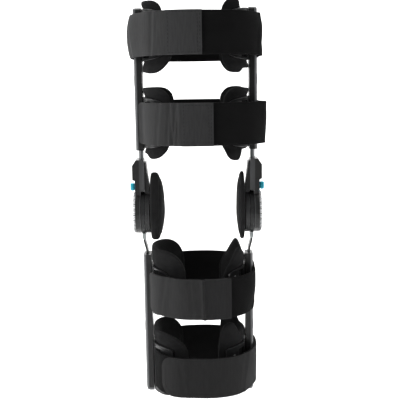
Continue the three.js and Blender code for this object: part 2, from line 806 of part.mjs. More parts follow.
function strapLayer(strap, ends, inside, thickness, { flare = 0, corner = 0 } = {}) {
  const angles = stations(strap, ...ends, corner);
  const columns = angles.length - 1;
  const [from] = angles;
  const turn = cornerTurn(strap, corner);
  const surface = (outward) => (u, v) => {
    const angle = angles[Math.round(u * columns)];
    const off = flare * (1 - THREE.MathUtils.smoothstep(angle, from, from + flareAngle));
    const left = corner ? Math.max(0, 1 - (angle - from) / turn) : 0;
    const cut = corner * (1 - Math.sqrt(1 - left ** 2));
    return loopPoint(strap, angle, outward + off, 0.5 + (v - 0.5) * (1 - (2 * cut) / strapWidth));
  };
  return sheet(columns, 1, surface(inside + thickness), surface(inside));
}

function closedBand(strap) {
  const surface = (outward) => (u, v) => loopPoint(strap, 360 * u, outward, v);
  return sheet(ringSteps, 1, surface(bandThickness), surface(0), true);
}

// A band that is threaded through the slots of the left cuff is open there
function openBand(strap) {
  return strapLayer(strap, [180 + threadedAngle, 540 - threadedAngle], 0, bandThickness);
}

// The brushed layer lies on the band and ends under the tab
function strapFront(strap, row) {
  const inside = bandThickness + seatGap;
  const end = frontAngle(strap, row.tabEnd - tabOverhang, inside);
  return strapLayer(strap, [row.start, end], inside, frontThickness, row);
}

function strapTab(strap, row) {
  const inside = bandThickness + frontThickness + 2 * seatGap;
  const ends = [row.tabStart, row.tabEnd].map((x) => frontAngle(strap, x, inside));
  return strapLayer(strap, ends, inside, tabThickness);
}

// The outer layer of strap 4 comes round from the right and ends in a free end with round corners
function looseLayer(strap) {
  const inside = bandThickness + seatGap;
  const ends = [frontAngle(strap, looseEndX, inside), 360 + looseEndStart];
  return strapLayer(strap, ends, inside, frontThickness, { corner: looseCorner });
}

// Assembly
const brace = new THREE.Group();

function piece(parent, name, shape, finish) {
  const geometry = shape.isBufferGeometry ? geometryOf(solidOf(shape)) : geometryOf(shape);
  const mesh = new THREE.Mesh(geometry, finish);
  mesh.name = name;
  parent.add(mesh);
}

for (const side of ["left", "right"]) {
  const half = new THREE.Group();
  half.scale.x = side === "left" ? -1 : 1;
  brace.add(half);
  const add = (name, shape, finish) => piece(half, name + "_" + side, shape, finish);
  add("thigh_shell", thighShell(), blackPlastic());
  add("thigh_button", buttonAt(thighHalfWidth, thighButtonZ, 0), blackPlastic());
  add("thigh_bar", thighBar(), aluminium());
  add("thigh_rail", thighRail(), blackMetal());
  add("hinge_housing", hingeHousing(), blackPlastic());
  add("inner_plate", innerPlate(), blackPlastic());
  add("dial", dial(), whitePlastic());
  add("pivot", pivot(), blackMetal());
  add("lock_slider", lockSlider(), darkBlue());
  add("lock_knob", lockKnob(), cyanPlastic());
  add("knee_pad", kneePad(side), foam());
  add("calf_bar", calfBar(), blackMetal());
  add("calf_shell", calfShell(), blackPlastic());
  add("calf_button", buttonAt(calfHalfWidth, calfButtonZ, 0), blackPlastic());
  cuffs.forEach((row, i) => {
    const strap = straps[i];
    add(row.name + "_cuff", slottedCuff(row, strap), blackPlastic());
    const padRow = padRows.find((other) => other.cuff === row.name && other.side === side);
    add(row.name + "_pad", pad(row, padRow), foam());
  });
}

for (const row of fronts) {
  const { strap } = row;
  const threaded = strap.left < 0;
  const band = threaded ? openBand(strap) : closedBand(strap);
  piece(brace, strap.name + "_band", band, elastic());
  piece(brace, strap.name + "_front", strapFront(strap, row), brushedFabric());
  piece(brace, strap.name + "_tab", strapTab(strap, row), hookTab());
}
const lowest = straps.at(-1);
piece(brace, lowest.name + "_band", openBand(lowest), elastic());
piece(brace, lowest.name + "_outer", looseLayer(lowest), brushedFabric());

export default brace;
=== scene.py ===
"""Looks of the hinged knee brace, laid out as a Blender add-on.

Frame: metres, +X to the right as seen from the front, -Y the front, +Z up, with the origin
in the middle of the knee on the hinge axis. Left and right are as seen from the front.
"""

import math
import bpy
from mathutils import Matrix, Vector, noise
from bpy.props import FloatProperty, FloatVectorProperty, PointerProperty


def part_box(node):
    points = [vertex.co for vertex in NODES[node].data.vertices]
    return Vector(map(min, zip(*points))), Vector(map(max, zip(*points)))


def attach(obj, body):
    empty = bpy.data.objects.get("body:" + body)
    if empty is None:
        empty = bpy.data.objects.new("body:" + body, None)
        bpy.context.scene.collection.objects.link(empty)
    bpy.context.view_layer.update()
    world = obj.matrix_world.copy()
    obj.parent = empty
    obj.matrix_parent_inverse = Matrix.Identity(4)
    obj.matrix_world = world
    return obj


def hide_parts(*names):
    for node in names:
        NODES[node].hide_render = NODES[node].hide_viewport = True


bl_info = {
    "name": "Hinged knee brace",
    "version": (1, 0, 0),
    "blender": (4, 5, 0),
    "location": "View3D > Sidebar > Knee brace",
    "description": "Dresses the hinged knee brace in cloth, foam and moulded plastic, in a plain studio",
    "category": "Object",
}

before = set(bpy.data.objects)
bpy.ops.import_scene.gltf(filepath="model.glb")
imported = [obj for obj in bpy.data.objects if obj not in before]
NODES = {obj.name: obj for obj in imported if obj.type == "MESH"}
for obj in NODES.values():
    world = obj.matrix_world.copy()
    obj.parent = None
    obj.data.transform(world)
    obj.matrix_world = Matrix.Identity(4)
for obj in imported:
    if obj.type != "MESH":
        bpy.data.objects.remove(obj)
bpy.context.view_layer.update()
SIDES = ("left", "right")

# Sizes shared with the solids, in metres
SEAT_GAP = 0.0003
HOOK_GAP = 0.0007
SHELL_THICKNESS = 0.012
SHELL_WIDTH = 0.029
SHELL_CHAMFER = 0.0025
CUFF_SQUARENESS = 2.6
CUFF_SHOULDER = 2.4
STRAP_SQUARENESS = 2.4
BULGE_START, BULGE_FULL = 8, 26
PAD_TIP_HEIGHT = 0.3
PAD_EDGE = 0.36
PAD_CURL = 0.0027
SLOT_CLEARANCE = 0.001
SLOT_NEAR, SLOT_FAR = 0.95, 0.84
SLOT_DEPTH_SHARE = 0.56
THREADED_ANGLE = 24
TAB_OVERHANG = 0.006
FLARE_ANGLE = 40
LOOSE_END_X = -0.058
LOOSE_END_START = 18
LOOSE_CORNER = 0.020
KNEE_PAD_CROWN = {"left": 0.022, "right": 0.0125}
KNEE_PAD_RIM = {"left": 0.008, "right": 0.004}
KNEE_PAD_HUB = 0.0008
STRAP_WIDTH = 0.063
BAND_THICKNESS = 0.0025
THIGH = {"half_width": 0.094, "end": 0.3145, "cuff_depth": 0.066, "front": 0.083, "back": 0.084}
CALF = {"half_width": 0.0866, "end": -0.294, "cuff_depth": 0.060, "front": 0.076, "back": 0.076}


def on_leg(rows, *shares):
    """Rows with their height along the leg, and with the named shares of the strap width in metres"""
    placed = []
    for row in rows:
        lengths = {key: row[key] * STRAP_WIDTH for key in shares}
        placed.append({**row, **lengths, "z": row["at"] * row["leg"]["end"]})
    return placed


# Cuffs: height as a share of the strap width, tips as shares of the half width and of the height
CUFFS = on_leg([
    {"name": "thigh_upper", "leg": THIGH, "at": 0.868, "height": 1.22, "tip": 0.6, "tip_height": 0.72},
    {"name": "thigh_lower", "leg": THIGH, "at": 0.4515, "height": 1.22, "tip": 0.6, "tip_height": 0.72},
    {"name": "calf_upper", "leg": CALF, "at": 0.4115, "height": 1.22, "tip": 0.64, "tip_height": 0.72},
    {"name": "calf_lower", "leg": CALF, "at": 0.84, "height": 1.26, "tip": 0.56, "tip_height": 0.85},
])

# Pads: front and back tips as shares of the half width, edges above and below in strap widths
PADS = [
    {"cuff": "thigh_upper", "side": "left", "front": 0.42, "back": 0.5, "up": 0.794, "down": 0.905},
    {"cuff": "thigh_upper", "side": "right", "front": 0.5, "back": 0.5, "up": 0.825, "down": 0.905},
    {"cuff": "thigh_lower", "side": "left", "front": 0.46, "back": 0.44, "up": 0.841, "down": 0.857},
    {"cuff": "thigh_lower", "side": "right", "front": 0.53, "back": 0.5, "up": 0.841, "down": 0.905},
    {"cuff": "calf_upper", "side": "left", "front": 0.28, "back": 0.34, "up": 1.079, "down": 0.5},
    {"cuff": "calf_upper", "side": "right", "front": 0.52, "back": 0.5, "up": 1.1, "down": 0.62},
    {"cuff": "calf_lower", "side": "left", "front": 0.25, "back": 0.4, "up": 0.984, "down": 0.683},
    {"cuff": "calf_lower", "side": "right", "front": 0.42, "back": 0.5, "up": 1.24, "down": 0.683},
]

# Edges of the pads: where along a wing the lobe starts to rise, is highest and has come down to the
# tip, how square its shoulder is, and how much lower the pad is by the upright
LOBES = {
    "thigh_upper_left": {
        "up": {"rise": 0, "peak": 0.2, "reach": 0.8, "square": 5, "waist": 0},
        "down": {"rise": 0.2, "peak": 0.5, "reach": 1, "square": 2.2, "waist": 0.03},
    },
    "thigh_upper_right": {
        "up": {"rise": 0.48, "peak": 0.68, "reach": 1, "square": 3.2, "waist": 0.3},
        "down": {"rise": 0.45, "peak": 0.62, "reach": 1, "square": 3, "waist": 0.12},
    },
    "thigh_lower_left": {
        "up": {"rise": 0, "peak": 0.5, "reach": 0.97, "square": 4, "waist": 0},
        "down": {"rise": 0.3, "peak": 0.5, "reach": 0.95, "square": 2.6, "waist": 0.12},
    },
    "thigh_lower_right": {
        "up": {"rise": 0.3, "peak": 0.55, "reach": 1, "square": 3.6, "waist": 0.04},
        "down": {"rise": 0.5, "peak": 0.68, "reach": 1, "square": 3.2, "waist": 0.28},
    },
    "calf_upper_left": {
        "up": {"rise": 0, "peak": 0.45, "reach": 1, "square": 3, "waist": 0},
        "down": {"rise": 0, "peak": 0.5, "reach": 1, "square": 3, "waist": 0},
    },
    "calf_upper_right": {
        "up": {"rise": 0.2, "peak": 0.55, "reach": 1, "square": 1.2, "waist": 0.25},
        "down": {"rise": 0, "peak": 0.3, "reach": 1, "square": 3, "waist": 0},
    },
    "calf_lower_left": {
        "up": {"rise": 0, "peak": 0.3, "reach": 1, "square": 3, "waist": 0},
        "down": {"rise": 0, "peak": 0.2, "reach": 1, "square": 3, "waist": 0},
    },
    "calf_lower_right": {
        "up": {"rise": 0.4, "peak": 0.72, "reach": 1, "square": 3, "waist": 0.3},
        "down": {"rise": 0, "peak": 0.2, "reach": 1, "square": 3, "waist": 0},
    },
}

# Straps: rise of the back, how far the loop stands out past the uprights, its bulge over the
# left upright, and how far its top and bottom edges are pulled in on the right, all in strap widths
STRAPS = on_leg([
    {"name": "strap_1", "leg": THIGH, "at": 0.8712, "rise": -0.127, "left": 0, "right": 0.19,
     "left_back": 0, "cup": 0.075, "top_pull": 0.06, "bottom_pull": 0},
    {"name": "strap_2", "leg": THIGH, "at": 0.4515, "rise": 0, "left": -0.254, "right": 0.349,
     "left_back": -0.254, "cup": 0, "top_pull": 0, "bottom_pull": 0.05},
    {"name": "strap_3", "leg": CALF, "at": 0.4167, "rise": 0.159, "left": -0.254, "right": 0.095,
     "left_back": -0.254, "cup": 0, "top_pull": 0, "bottom_pull": 0.07},
    {"name": "strap_4", "leg": CALF, "at": 0.8452, "rise": 0.079, "left": -0.254, "right": 0,
     "left_back": -0.254, "cup": 0, "top_pull": 0, "bottom_pull": 0.07},
], "rise", "left", "right", "left_back", "cup", "top_pull", "bottom_pull")

# Brushed layers: where each starts, how far it stands off there in thicknesses of the band, its
# corners in strap widths, its tab's ends in half widths of the leg, and how light both cloths are:
# nap and hook are painted light and shade on copies of one cloth, lighter on the upper straps
FRONTS = [
    {"start": 160, "flare": 0, "corner": 0.064, "tab_start": -0.447, "tab_end": 0.106,
     "nap": 1.03, "hook": 1.15},
    {"start": 199, "flare": 0.6, "corner": 0.08, "tab_start": -0.223, "tab_end": 0.266,
     "nap": 0.9, "hook": 1},
    {"start": 203, "flare": 1.4, "corner": 0.159, "tab_start": 0.092, "tab_end": 0.566,
     "nap": 0.72, "hook": 0.62},
]

# Broad dents, as in the solids, and fine creases: angle, depth in thicknesses of the band (below
# zero for a crest), spread in degrees and lean
DENTS = [
    {"strap": "strap_1", "angle": 214, "depth": 1, "spread": 9},
    {"strap": "strap_1", "angle": 292, "depth": 0.6, "spread": 14},
    {"strap": "strap_2", "angle": 246, "depth": 1, "spread": 9},
    {"strap": "strap_2", "angle": 308, "depth": 0.8, "spread": 14},
    {"strap": "strap_3", "angle": 236, "depth": 0.8, "spread": 10},
    {"strap": "strap_4", "angle": 262, "depth": 0.8, "spread": 12},
]
CREASES = [
    {"strap": "strap_1", "angle": 188, "depth": 0.5, "spread": 1.6, "lean": 2},
    {"strap": "strap_1", "angle": 197, "depth": 0.45, "spread": 1.8, "lean": -3},
    {"strap": "strap_1", "angle": 229, "depth": 0.5, "spread": 1.4, "lean": 1},
    {"strap": "strap_1", "angle": 331, "depth": 0.3, "spread": 1.4, "lean": 3},
    {"strap": "strap_1", "angle": 337, "depth": 0.5, "spread": 1.6, "lean": -2},
    {"strap": "strap_1", "angle": 342, "depth": 0.5, "spread": 1.3, "lean": 3},
    {"strap": "strap_1", "angle": 348, "depth": 0.4, "spread": 1.5, "lean": 1},
    {"strap": "strap_2", "angle": 231, "depth": 0.3, "spread": 1.6, "lean": 2},
    {"strap": "strap_2", "angle": 242, "depth": 0.4, "spread": 1.1, "lean": 1.5},
    {"strap": "strap_2", "angle": 245, "depth": 0.4, "spread": 0.9, "lean": -1},
    {"strap": "strap_2", "angle": 248.5, "depth": 0.45, "spread": 1.0, "lean": 2},
    {"strap": "strap_2", "angle": 251.5, "depth": 0.35, "spread": 0.9, "lean": 0.5},
    {"strap": "strap_2", "angle": 336, "depth": 0.35, "spread": 2.0, "lean": 2},
    {"strap": "strap_2", "angle": 344, "depth": 0.3, "spread": 1.6, "lean": -2},
    {"strap": "strap_3", "angle": 228, "depth": 0.3, "spread": 2.2, "lean": 4},
    {"strap": "strap_3", "angle": 262, "depth": 0.25, "spread": 1.4, "lean": -2},
    {"strap": "strap_3", "angle": 275, "depth": -0.9, "spread": 1.9, "lean": -0.6},
    {"strap": "strap_3", "angle": 338, "depth": 0.4, "spread": 2.0, "lean": 4},
    {"strap": "strap_4", "angle": 250, "depth": 0.25, "spread": 2.4, "lean": -3},
    {"strap": "strap_4", "angle": 320, "depth": 0.3, "spread": 2.0, "lean": 3},
]
CUP_MIDDLE, CUP_SPREAD = 186, 22  # degrees
PULL_MIDDLE, PULL_SPREAD = 334, 14
COLLAR = 0.033, 0.043  # bare metal of the calf bar, from and to, below the hinge axis
CHAMFER_HIGHLIGHT = 0.0124, 0.0142  # painted highlight along the front and back edges of the shells, from and to, off their middle plane
OUTER_EDGE_HIGHLIGHT = 0.0042, 0.0004  # painted highlight along the outer edges of the shells, from and to, in from their outer face
EDGE_ROWS, SLOT_ROWS = 4, 14  # rows of faces above or below a cuff's slots, and across them
FRONT_ROWS = 24  # rows of faces across a brushed layer or a tab

# Marks of the dials: half widths on the face and on the bevel, and where the ticks start and end
TICKS = {
    "long": {"thin": 0.00042, "bold": 0.0011, "inner": 0.0268},
    "short": {"thin": 0.00028, "bold": 0.0005, "inner": 0.0282},
}
TICK_STEP = 5  # degrees
TICK_END = 0.0034  # how far the ticks run down the dial's side, from its face
DIAL_FACE_EDGE, DIAL_RIM, DIAL_BEVEL = 0.0302, 0.03312, 0.0028
INK_RISE, INK_LIFT, INK_THICKNESS = 0.00012, 0.0001, 0.0002
NUMBER_HEIGHT, NUMBER_RADIUS = 0.0062, 0.0222

# Rivets: rings of the domed head as radius and rise, the head's place from a cuff's slot to its
# tip, and how far it lies above and below the middle of the strap
RIVET_RINGS = [(0.0021, 0.0), (0.002, 0.0003), (0.0014, 0.00062), (0.0006, 0.00078)]
RIVET_PLACE, RIVET_SPREAD = 0.42, 0.0235

# Stitches: radius of the thread, how much of a stitch's length shows, and along it the thread's
# thickness and rise as shares of its radius
THREAD_RADIUS, THREAD_SHOWN = 0.00028, 0.72
STITCH_STATIONS = [(0.0, 0.35, -1.0), (0.18, 0.9, 0.0), (0.5, 1.0, 0.25), (0.82, 0.9, 0.0), (1.0, 0.35, -1.0)]
STITCH_EDGE = 0.9  # rows of stitches, as a share of the half width of the strap
SEAM_INSET, SECOND_SEAM = 0.003, 0.0065  # seams of a tab, in from its ends
COVER = 0.0902, 0.2  # outer cover of the hinge housing, from and to, across the leg


class BraceStrapSizes(bpy.types.PropertyGroup):
    """Sizes of the straps"""

    width: FloatProperty(name="Width", description="Width of every strap", default=0.063, unit="LENGTH")
    band: FloatProperty(
        name="Band", description="Thickness of the elastic band", default=0.0025, unit="LENGTH", precision=4
    )
    front: FloatProperty(
        name="Brushed layer", description="Thickness of the brushed layer", default=0.002,
        unit="LENGTH", precision=4,
    )
    tab: FloatProperty(
        name="Tab", description="Thickness of the hook tab", default=0.0016, unit="LENGTH", precision=4
    )
    waviness: FloatProperty(
        name="Waviness", description="Depth of the cloth's uneven places", default=0.0005,
        unit="LENGTH", precision=4,
    )
    stitch: FloatProperty(
        name="Stitch", description="Length of one stitch with its gap", default=0.003,
        unit="LENGTH", precision=4,
    )


class BracePadSizes(bpy.types.PropertyGroup):
    """Sizes of the cuffs and the foam pads"""

    cuff: FloatProperty(
        name="Cuff", description="Thickness of the moulded cuffs", default=0.0025, unit="LENGTH", precision=4
    )
    rim: FloatProperty(
        name="Cuff rim", description="Height of the bead along a cuff's edge", default=0.0009,
        unit="LENGTH", precision=4,
    )
    pad: FloatProperty(
        name="Pad", description="Thickness of the foam pads", default=0.009, unit="LENGTH", precision=4
    )
    channel: FloatProperty(
        name="Channel", description="Depth of the sewn channel round a pad", default=0.0009,
        unit="LENGTH", precision=4,
    )


class BraceColours(bpy.types.PropertyGroup):
    """Colours of the brace"""

    shell: FloatVectorProperty(
        name="Moulded parts", description="Colour of the shells, housings and cuffs",
        default=(0.008, 0.0082, 0.0085), subtype="COLOR", min=0, max=1,
    )
    elastic: FloatVectorProperty(
        name="Elastic", description="Colour of the elastic bands",
        default=(0.0078, 0.0078, 0.008), subtype="COLOR", min=0, max=1,
    )
    brushed: FloatVectorProperty(
        name="Brushed cloth", description="Colour of the brushed layers",
        default=(0.034, 0.034, 0.0345), subtype="COLOR", min=0, max=1,
    )
    tab: FloatVectorProperty(
        name="Tabs", description="Colour of the hook tabs",
        default=(0.033, 0.033, 0.0338), subtype="COLOR", min=0, max=1,
    )
    foam: FloatVectorProperty(
        name="Pads", description="Colour of the cloth on the foam pads",
        default=(0.010, 0.010, 0.0103), subtype="COLOR", min=0, max=1,
    )
    lock: FloatVectorProperty(
        name="Lock knobs", description="Colour of the quick locks' knobs",
        default=(0.012, 0.36, 0.48), subtype="COLOR", min=0, max=1,
    )


class BraceStage(bpy.types.PropertyGroup):
    """Studio round the brace"""

    floor: FloatProperty(
        name="Floor", description="Height of the floor", default=-0.352, unit="LENGTH"
    )
    key: FloatProperty(
        name="Main light", description="Power of the large light in front", default=15, unit="POWER"
    )
    strip: FloatProperty(
        name="Strips", description="Power of the tall lights at the sides", default=9, unit="POWER"
    )
    backdrop: FloatProperty(
        name="Backdrop", description="Power of the backdrop's light", default=110, unit="POWER"
    )
    surround: FloatProperty(
        name="Surround", description="Strength of the light from all round", default=0.42, min=0
    )


class BraceSettings(bpy.types.PropertyGroup):
    """Everything that can be changed on the brace"""

    straps: PointerProperty(type=BraceStrapSizes)
    pads: PointerProperty(type=BracePadSizes)
    colours: PointerProperty(type=BraceColours)
    stage: PointerProperty(type=BraceStage)


# Materials


def add_node(material, kind, location, **values):
    node = material.node_tree.nodes.new(kind)
    node.location = location
    for key, value in values.items():
        if key in node.inputs:
            node.inputs[key].default_value = value
        else:
            setattr(node, key, value)
    return node


def new_material(name, colour, roughness, metallic=0.0, shine=0.5):
    """A material with its shader set up, in the brace's plain colour"""
    found = bpy.data.materials.get(name)
    if found:
        return found, None
    material = bpy.data.materials.new(name)
    material.use_nodes = True
    material.diffuse_color = (*colour, 1)
    shader = material.node_tree.nodes["Principled BSDF"]
    shader.inputs["Base Color"].default_value = (*colour, 1)
    shader.inputs["Roughness"].default_value = roughness
    shader.inputs["Metallic"].default_value = metallic
    shader.inputs["Specular IOR Level"].default_value = shine
    return material, shader


def tinted(colour, share):
    return (*[min(1, c * share) for c in colour], 1)


def mottled(material, shader, colour, dark, light, scale, place):
    """Colour that varies softly from place to place"""
    links = material.node_tree.links
    cloud = add_node(material, "ShaderNodeTexNoise", (-900, 300), Scale=scale, Detail=4)
    ramp = add_node(material, "ShaderNodeValToRGB", (-650, 300))
    ramp.color_ramp.elements[0].position = 0.3
    ramp.color_ramp.elements[0].color = tinted(colour, dark)
    ramp.color_ramp.elements[1].position = 0.72
    ramp.color_ramp.elements[1].color = tinted(colour, light)
    links.new(place, cloud.inputs["Vector"])
    links.new(cloud.outputs["Fac"], ramp.inputs["Fac"])
    links.new(ramp.outputs["Color"], shader.inputs["Base Color"])
    return ramp


def moulded_plastic(name, colour, roughness, edge_highlight=2.6, shine=0.4):
    """Moulded plastic: a fine grain, uneven gloss and a painted highlight along its edges"""
    material, shader = new_material(name, colour, roughness, shine=shine)
    if not shader:
        return material
    links = material.node_tree.links
    place = add_node(material, "ShaderNodeTexCoord", (-1300, 0)).outputs["Object"]
    ramp = mottled(material, shader, colour, 0.85, 1.25, 60, place)
    # Painted highlight: where the mesh is pointy, at its edges, the colour is painted lighter by the given
    # share, for light caught on the edges
    point = add_node(material, "ShaderNodeNewGeometry", (-900, 600))
    edge = add_node(material, "ShaderNodeMapRange", (-650, 600))
    edge.inputs["From Min"].default_value = 0.52
    edge.inputs["From Max"].default_value = 0.62
    edge_highlight_mix = add_node(material, "ShaderNodeMix", (-300, 400), data_type="RGBA")
    edge_highlight_mix.inputs["B"].default_value = tinted(colour, edge_highlight)
    links.new(point.outputs["Pointiness"], edge.inputs["Value"])
    links.new(edge.outputs["Result"], edge_highlight_mix.inputs["Factor"])
    links.new(ramp.outputs["Color"], edge_highlight_mix.inputs["A"])
    links.new(edge_highlight_mix.outputs["Result"], shader.inputs["Base Color"])
    gloss = add_node(material, "ShaderNodeTexNoise", (-900, 0), Scale=180, Detail=3)
    span = add_node(material, "ShaderNodeMapRange", (-650, 0))
    span.inputs["To Min"].default_value = roughness - 0.08
    span.inputs["To Max"].default_value = roughness + 0.1
    links.new(place, gloss.inputs["Vector"])
    links.new(gloss.outputs["Fac"], span.inputs["Value"])
    links.new(span.outputs["Result"], shader.inputs["Roughness"])
    grain = add_node(material, "ShaderNodeTexNoise", (-900, -300), Scale=2200, Detail=2)
    bump = add_node(material, "ShaderNodeBump", (-400, -300), Strength=0.12, Distance=0.0002)
    links.new(place, grain.inputs["Vector"])
    links.new(grain.outputs["Fac"], bump.inputs["Height"])
    links.new(bump.outputs["Normal"], shader.inputs["Normal"])
    return material


def drawn_metal(name, colour, roughness, shiny=1.0):
    """Metal drawn along the bar: long fine scratches and uneven gloss"""
    material, shader = new_material(name, colour, roughness, metallic=shiny)
    if not shader:
        return material
    links = material.node_tree.links
    place = add_node(material, "ShaderNodeTexCoord", (-1500, 0)).outputs["Object"]
    stretch = add_node(material, "ShaderNodeMapping", (-1250, 0), Scale=(1, 1, 0.02))
    lines = add_node(material, "ShaderNodeTexNoise", (-1000, 0), Scale=1800, Detail=3)
    span = add_node(material, "ShaderNodeMapRange", (-700, 0))
    span.inputs["To Min"].default_value = roughness - 0.1
    span.inputs["To Max"].default_value = roughness + 0.14
    bump = add_node(material, "ShaderNodeBump", (-400, -300), Strength=0.1, Distance=0.0001)
    links.new(place, stretch.inputs["Vector"])
    links.new(stretch.outputs["Vector"], lines.inputs["Vector"])
    links.new(lines.outputs["Fac"], span.inputs["Value"])
    links.new(span.outputs["Result"], shader.inputs["Roughness"])
    links.new(lines.outputs["Fac"], bump.inputs["Height"])
    links.new(bump.outputs["Normal"], shader.inputs["Normal"])
    mottled(material, shader, colour, 0.8, 1.15, 90, place)
    return material


def banded(material, axis, low, high, colour):
    """Another colour where the distance from the middle along an axis lies between two values"""
    tree = material.node_tree
    shader = tree.nodes["Principled BSDF"]
    base = shader.inputs["Base Color"].links[0].from_socket
    place = add_node(material, "ShaderNodeTexCoord", (-1500, 900)).outputs["Object"]
    split = add_node(material, "ShaderNodeSeparateXYZ", (-1300, 900))
    distance = add_node(material, "ShaderNodeMath", (-1100, 900), operation="ABSOLUTE")
    below = add_node(material, "ShaderNodeMath", (-900, 1000), operation="LESS_THAN")
    above = add_node(material, "ShaderNodeMath", (-900, 800), operation="GREATER_THAN")
    both = add_node(material, "ShaderNodeMath", (-700, 900), operation="MULTIPLY")
    band = add_node(material, "ShaderNodeMix", (-200, 600), data_type="RGBA")
    band.inputs["B"].default_value = (*colour, 1)
    below.inputs[1].default_value, above.inputs[1].default_value = high, low
    tree.links.new(place, split.inputs["Vector"])
    tree.links.new(split.outputs[axis], distance.inputs[0])
    for test in (below, above):
        tree.links.new(distance.outputs["Value"], test.inputs[0])
    tree.links.new(below.outputs["Value"], both.inputs[0])
    tree.links.new(above.outputs["Value"], both.inputs[1])
    tree.links.new(both.outputs["Value"], band.inputs["Factor"])
    tree.links.new(base, band.inputs["A"])
    tree.links.new(band.outputs["Result"], shader.inputs["Base Color"])
    return material


def woven_elastic(name, colour):
    """Elastic webbing: close ribs across the band, crossed by rows of knitted thread, with painted shade in
    the weave's hollows
    """
    material, shader = new_material(name, colour, 0.85, shine=0.05)
    if not shader:
        return material
    links = material.node_tree.links
    place = add_node(material, "ShaderNodeUVMap", (-1500, -200), uv_map="UVMap").outputs["UV"]
    ribs = add_node(material, "ShaderNodeTexWave", (-1100, -100), Scale=250, Distortion=0.4)
    rows = add_node(material, "ShaderNodeTexWave", (-1100, -400), Scale=180, Distortion=0.3)
    rows.bands_direction = "Y"
    rows.inputs["Detail"].default_value = 0
    weave = add_node(material, "ShaderNodeMath", (-800, -200), operation="MULTIPLY")
    bump = add_node(material, "ShaderNodeBump", (-400, -300), Strength=0.5, Distance=0.0003)
    for wave in (ribs, rows):
        links.new(place, wave.inputs["Vector"])
    links.new(ribs.outputs["Fac"], weave.inputs[0])
    links.new(rows.outputs["Fac"], weave.inputs[1])
    links.new(weave.outputs["Value"], bump.inputs["Height"])
    links.new(bump.outputs["Normal"], shader.inputs["Normal"])
    cloud = add_node(material, "ShaderNodeTexNoise", (-1100, 300), Scale=45, Detail=4)
    ramp = add_node(material, "ShaderNodeValToRGB", (-800, 300))
    ramp.color_ramp.elements[0].color = tinted(colour, 0.8)
    ramp.color_ramp.elements[1].color = tinted(colour, 1.3)
    # Painted shade: the low places of the weave are painted darker
    weave_hollow_shade = add_node(material, "ShaderNodeMix", (-350, 200), data_type="RGBA", blend_type="MULTIPLY")
    weave_hollow_shade.inputs["Factor"].default_value = 0.45
    links.new(place, cloud.inputs["Vector"])
    links.new(cloud.outputs["Fac"], ramp.inputs["Fac"])
    links.new(ramp.outputs["Color"], weave_hollow_shade.inputs["A"])
    links.new(weave.outputs["Value"], weave_hollow_shade.inputs["B"])
    links.new(weave_hollow_shade.outputs["Result"], shader.inputs["Base Color"])
    shader.inputs["Sheen Weight"].default_value = 0.01
    shader.inputs["Sheen Roughness"].default_value = 0.5
    return material


def brushed_cloth(name, colour, nap, sheen):
    """Brushed loop cloth: a soft nap that lies in faint streaks across the strap"""
    material, shader = new_material(name, colour, 0.95, shine=0.06)
    if not shader:
        return material
    links = material.node_tree.links
    place = add_node(material, "ShaderNodeUVMap", (-1700, 0), uv_map="UVMap").outputs["UV"]
    stretch = add_node(material, "ShaderNodeMapping", (-1450, 0), Scale=(1, 0.12, 1))
    streaks = add_node(material, "ShaderNodeTexNoise", (-1200, 200), Scale=420, Detail=5)
    fluff = add_node(material, "ShaderNodeTexNoise", (-1200, -200), Scale=1500, Detail=3)
    ramp = add_node(material, "ShaderNodeValToRGB", (-800, 300))
    ramp.color_ramp.elements[0].position = 0.3
    ramp.color_ramp.elements[0].color = tinted(colour, 0.9)
    ramp.color_ramp.elements[1].position = 0.7
    ramp.color_ramp.elements[1].color = tinted(colour, 1.1)
    speck = add_node(material, "ShaderNodeMix", (-400, 200), data_type="RGBA", blend_type="OVERLAY")
    speck.inputs["Factor"].default_value = 0.25
    height = add_node(material, "ShaderNodeMath", (-800, -200), operation="ADD")
    bump = add_node(material, "ShaderNodeBump", (-400, -300), Strength=nap, Distance=0.0003)
    links.new(place, stretch.inputs["Vector"])
    links.new(stretch.outputs["Vector"], streaks.inputs["Vector"])
    links.new(place, fluff.inputs["Vector"])
    links.new(streaks.outputs["Fac"], ramp.inputs["Fac"])
    links.new(ramp.outputs["Color"], speck.inputs["A"])
    links.new(fluff.outputs["Fac"], speck.inputs["B"])
    links.new(speck.outputs["Result"], shader.inputs["Base Color"])
    links.new(streaks.outputs["Fac"], height.inputs[0])
    links.new(fluff.outputs["Fac"], height.inputs[1])
    links.new(height.outputs["Value"], bump.inputs["Height"])
    links.new(bump.outputs["Normal"], shader.inputs["Normal"])
    shader.inputs["Sheen Weight"].default_value = sheen
    shader.inputs["Sheen Roughness"].default_value = 0.6
    return material


def pad_cloth(name, colour):
    """Loop cloth on foam: a knitted dimple pattern with a short nap"""
    material, shader = new_material(name, colour, 0.9, shine=0.08)
    if not shader:
        return material
    links = material.node_tree.links
    place = add_node(material, "ShaderNodeTexCoord", (-1500, 0)).outputs["Object"]
    knit = add_node(material, "ShaderNodeTexVoronoi", (-1200, -200), Scale=650)
    nap = add_node(material, "ShaderNodeTexNoise", (-1200, -500), Scale=2600, Detail=2)
    height = add_node(material, "ShaderNodeMath", (-800, -300), operation="ADD")
    bump = add_node(material, "ShaderNodeBump", (-400, -300), Strength=0.35, Distance=0.0004)
    mottled(material, shader, colour, 0.8, 1.3, 70, place)
    links.new(place, knit.inputs["Vector"])
    links.new(place, nap.inputs["Vector"])
    links.new(knit.outputs["Distance"], height.inputs[0])
    links.new(nap.outputs["Fac"], height.inputs[1])
    links.new(height.outputs["Value"], bump.inputs["Height"])
    links.new(bump.outputs["Normal"], shader.inputs["Normal"])
    shader.inputs["Sheen Weight"].default_value = 0.02
    shader.inputs["Sheen Roughness"].default_value = 0.45
    return material


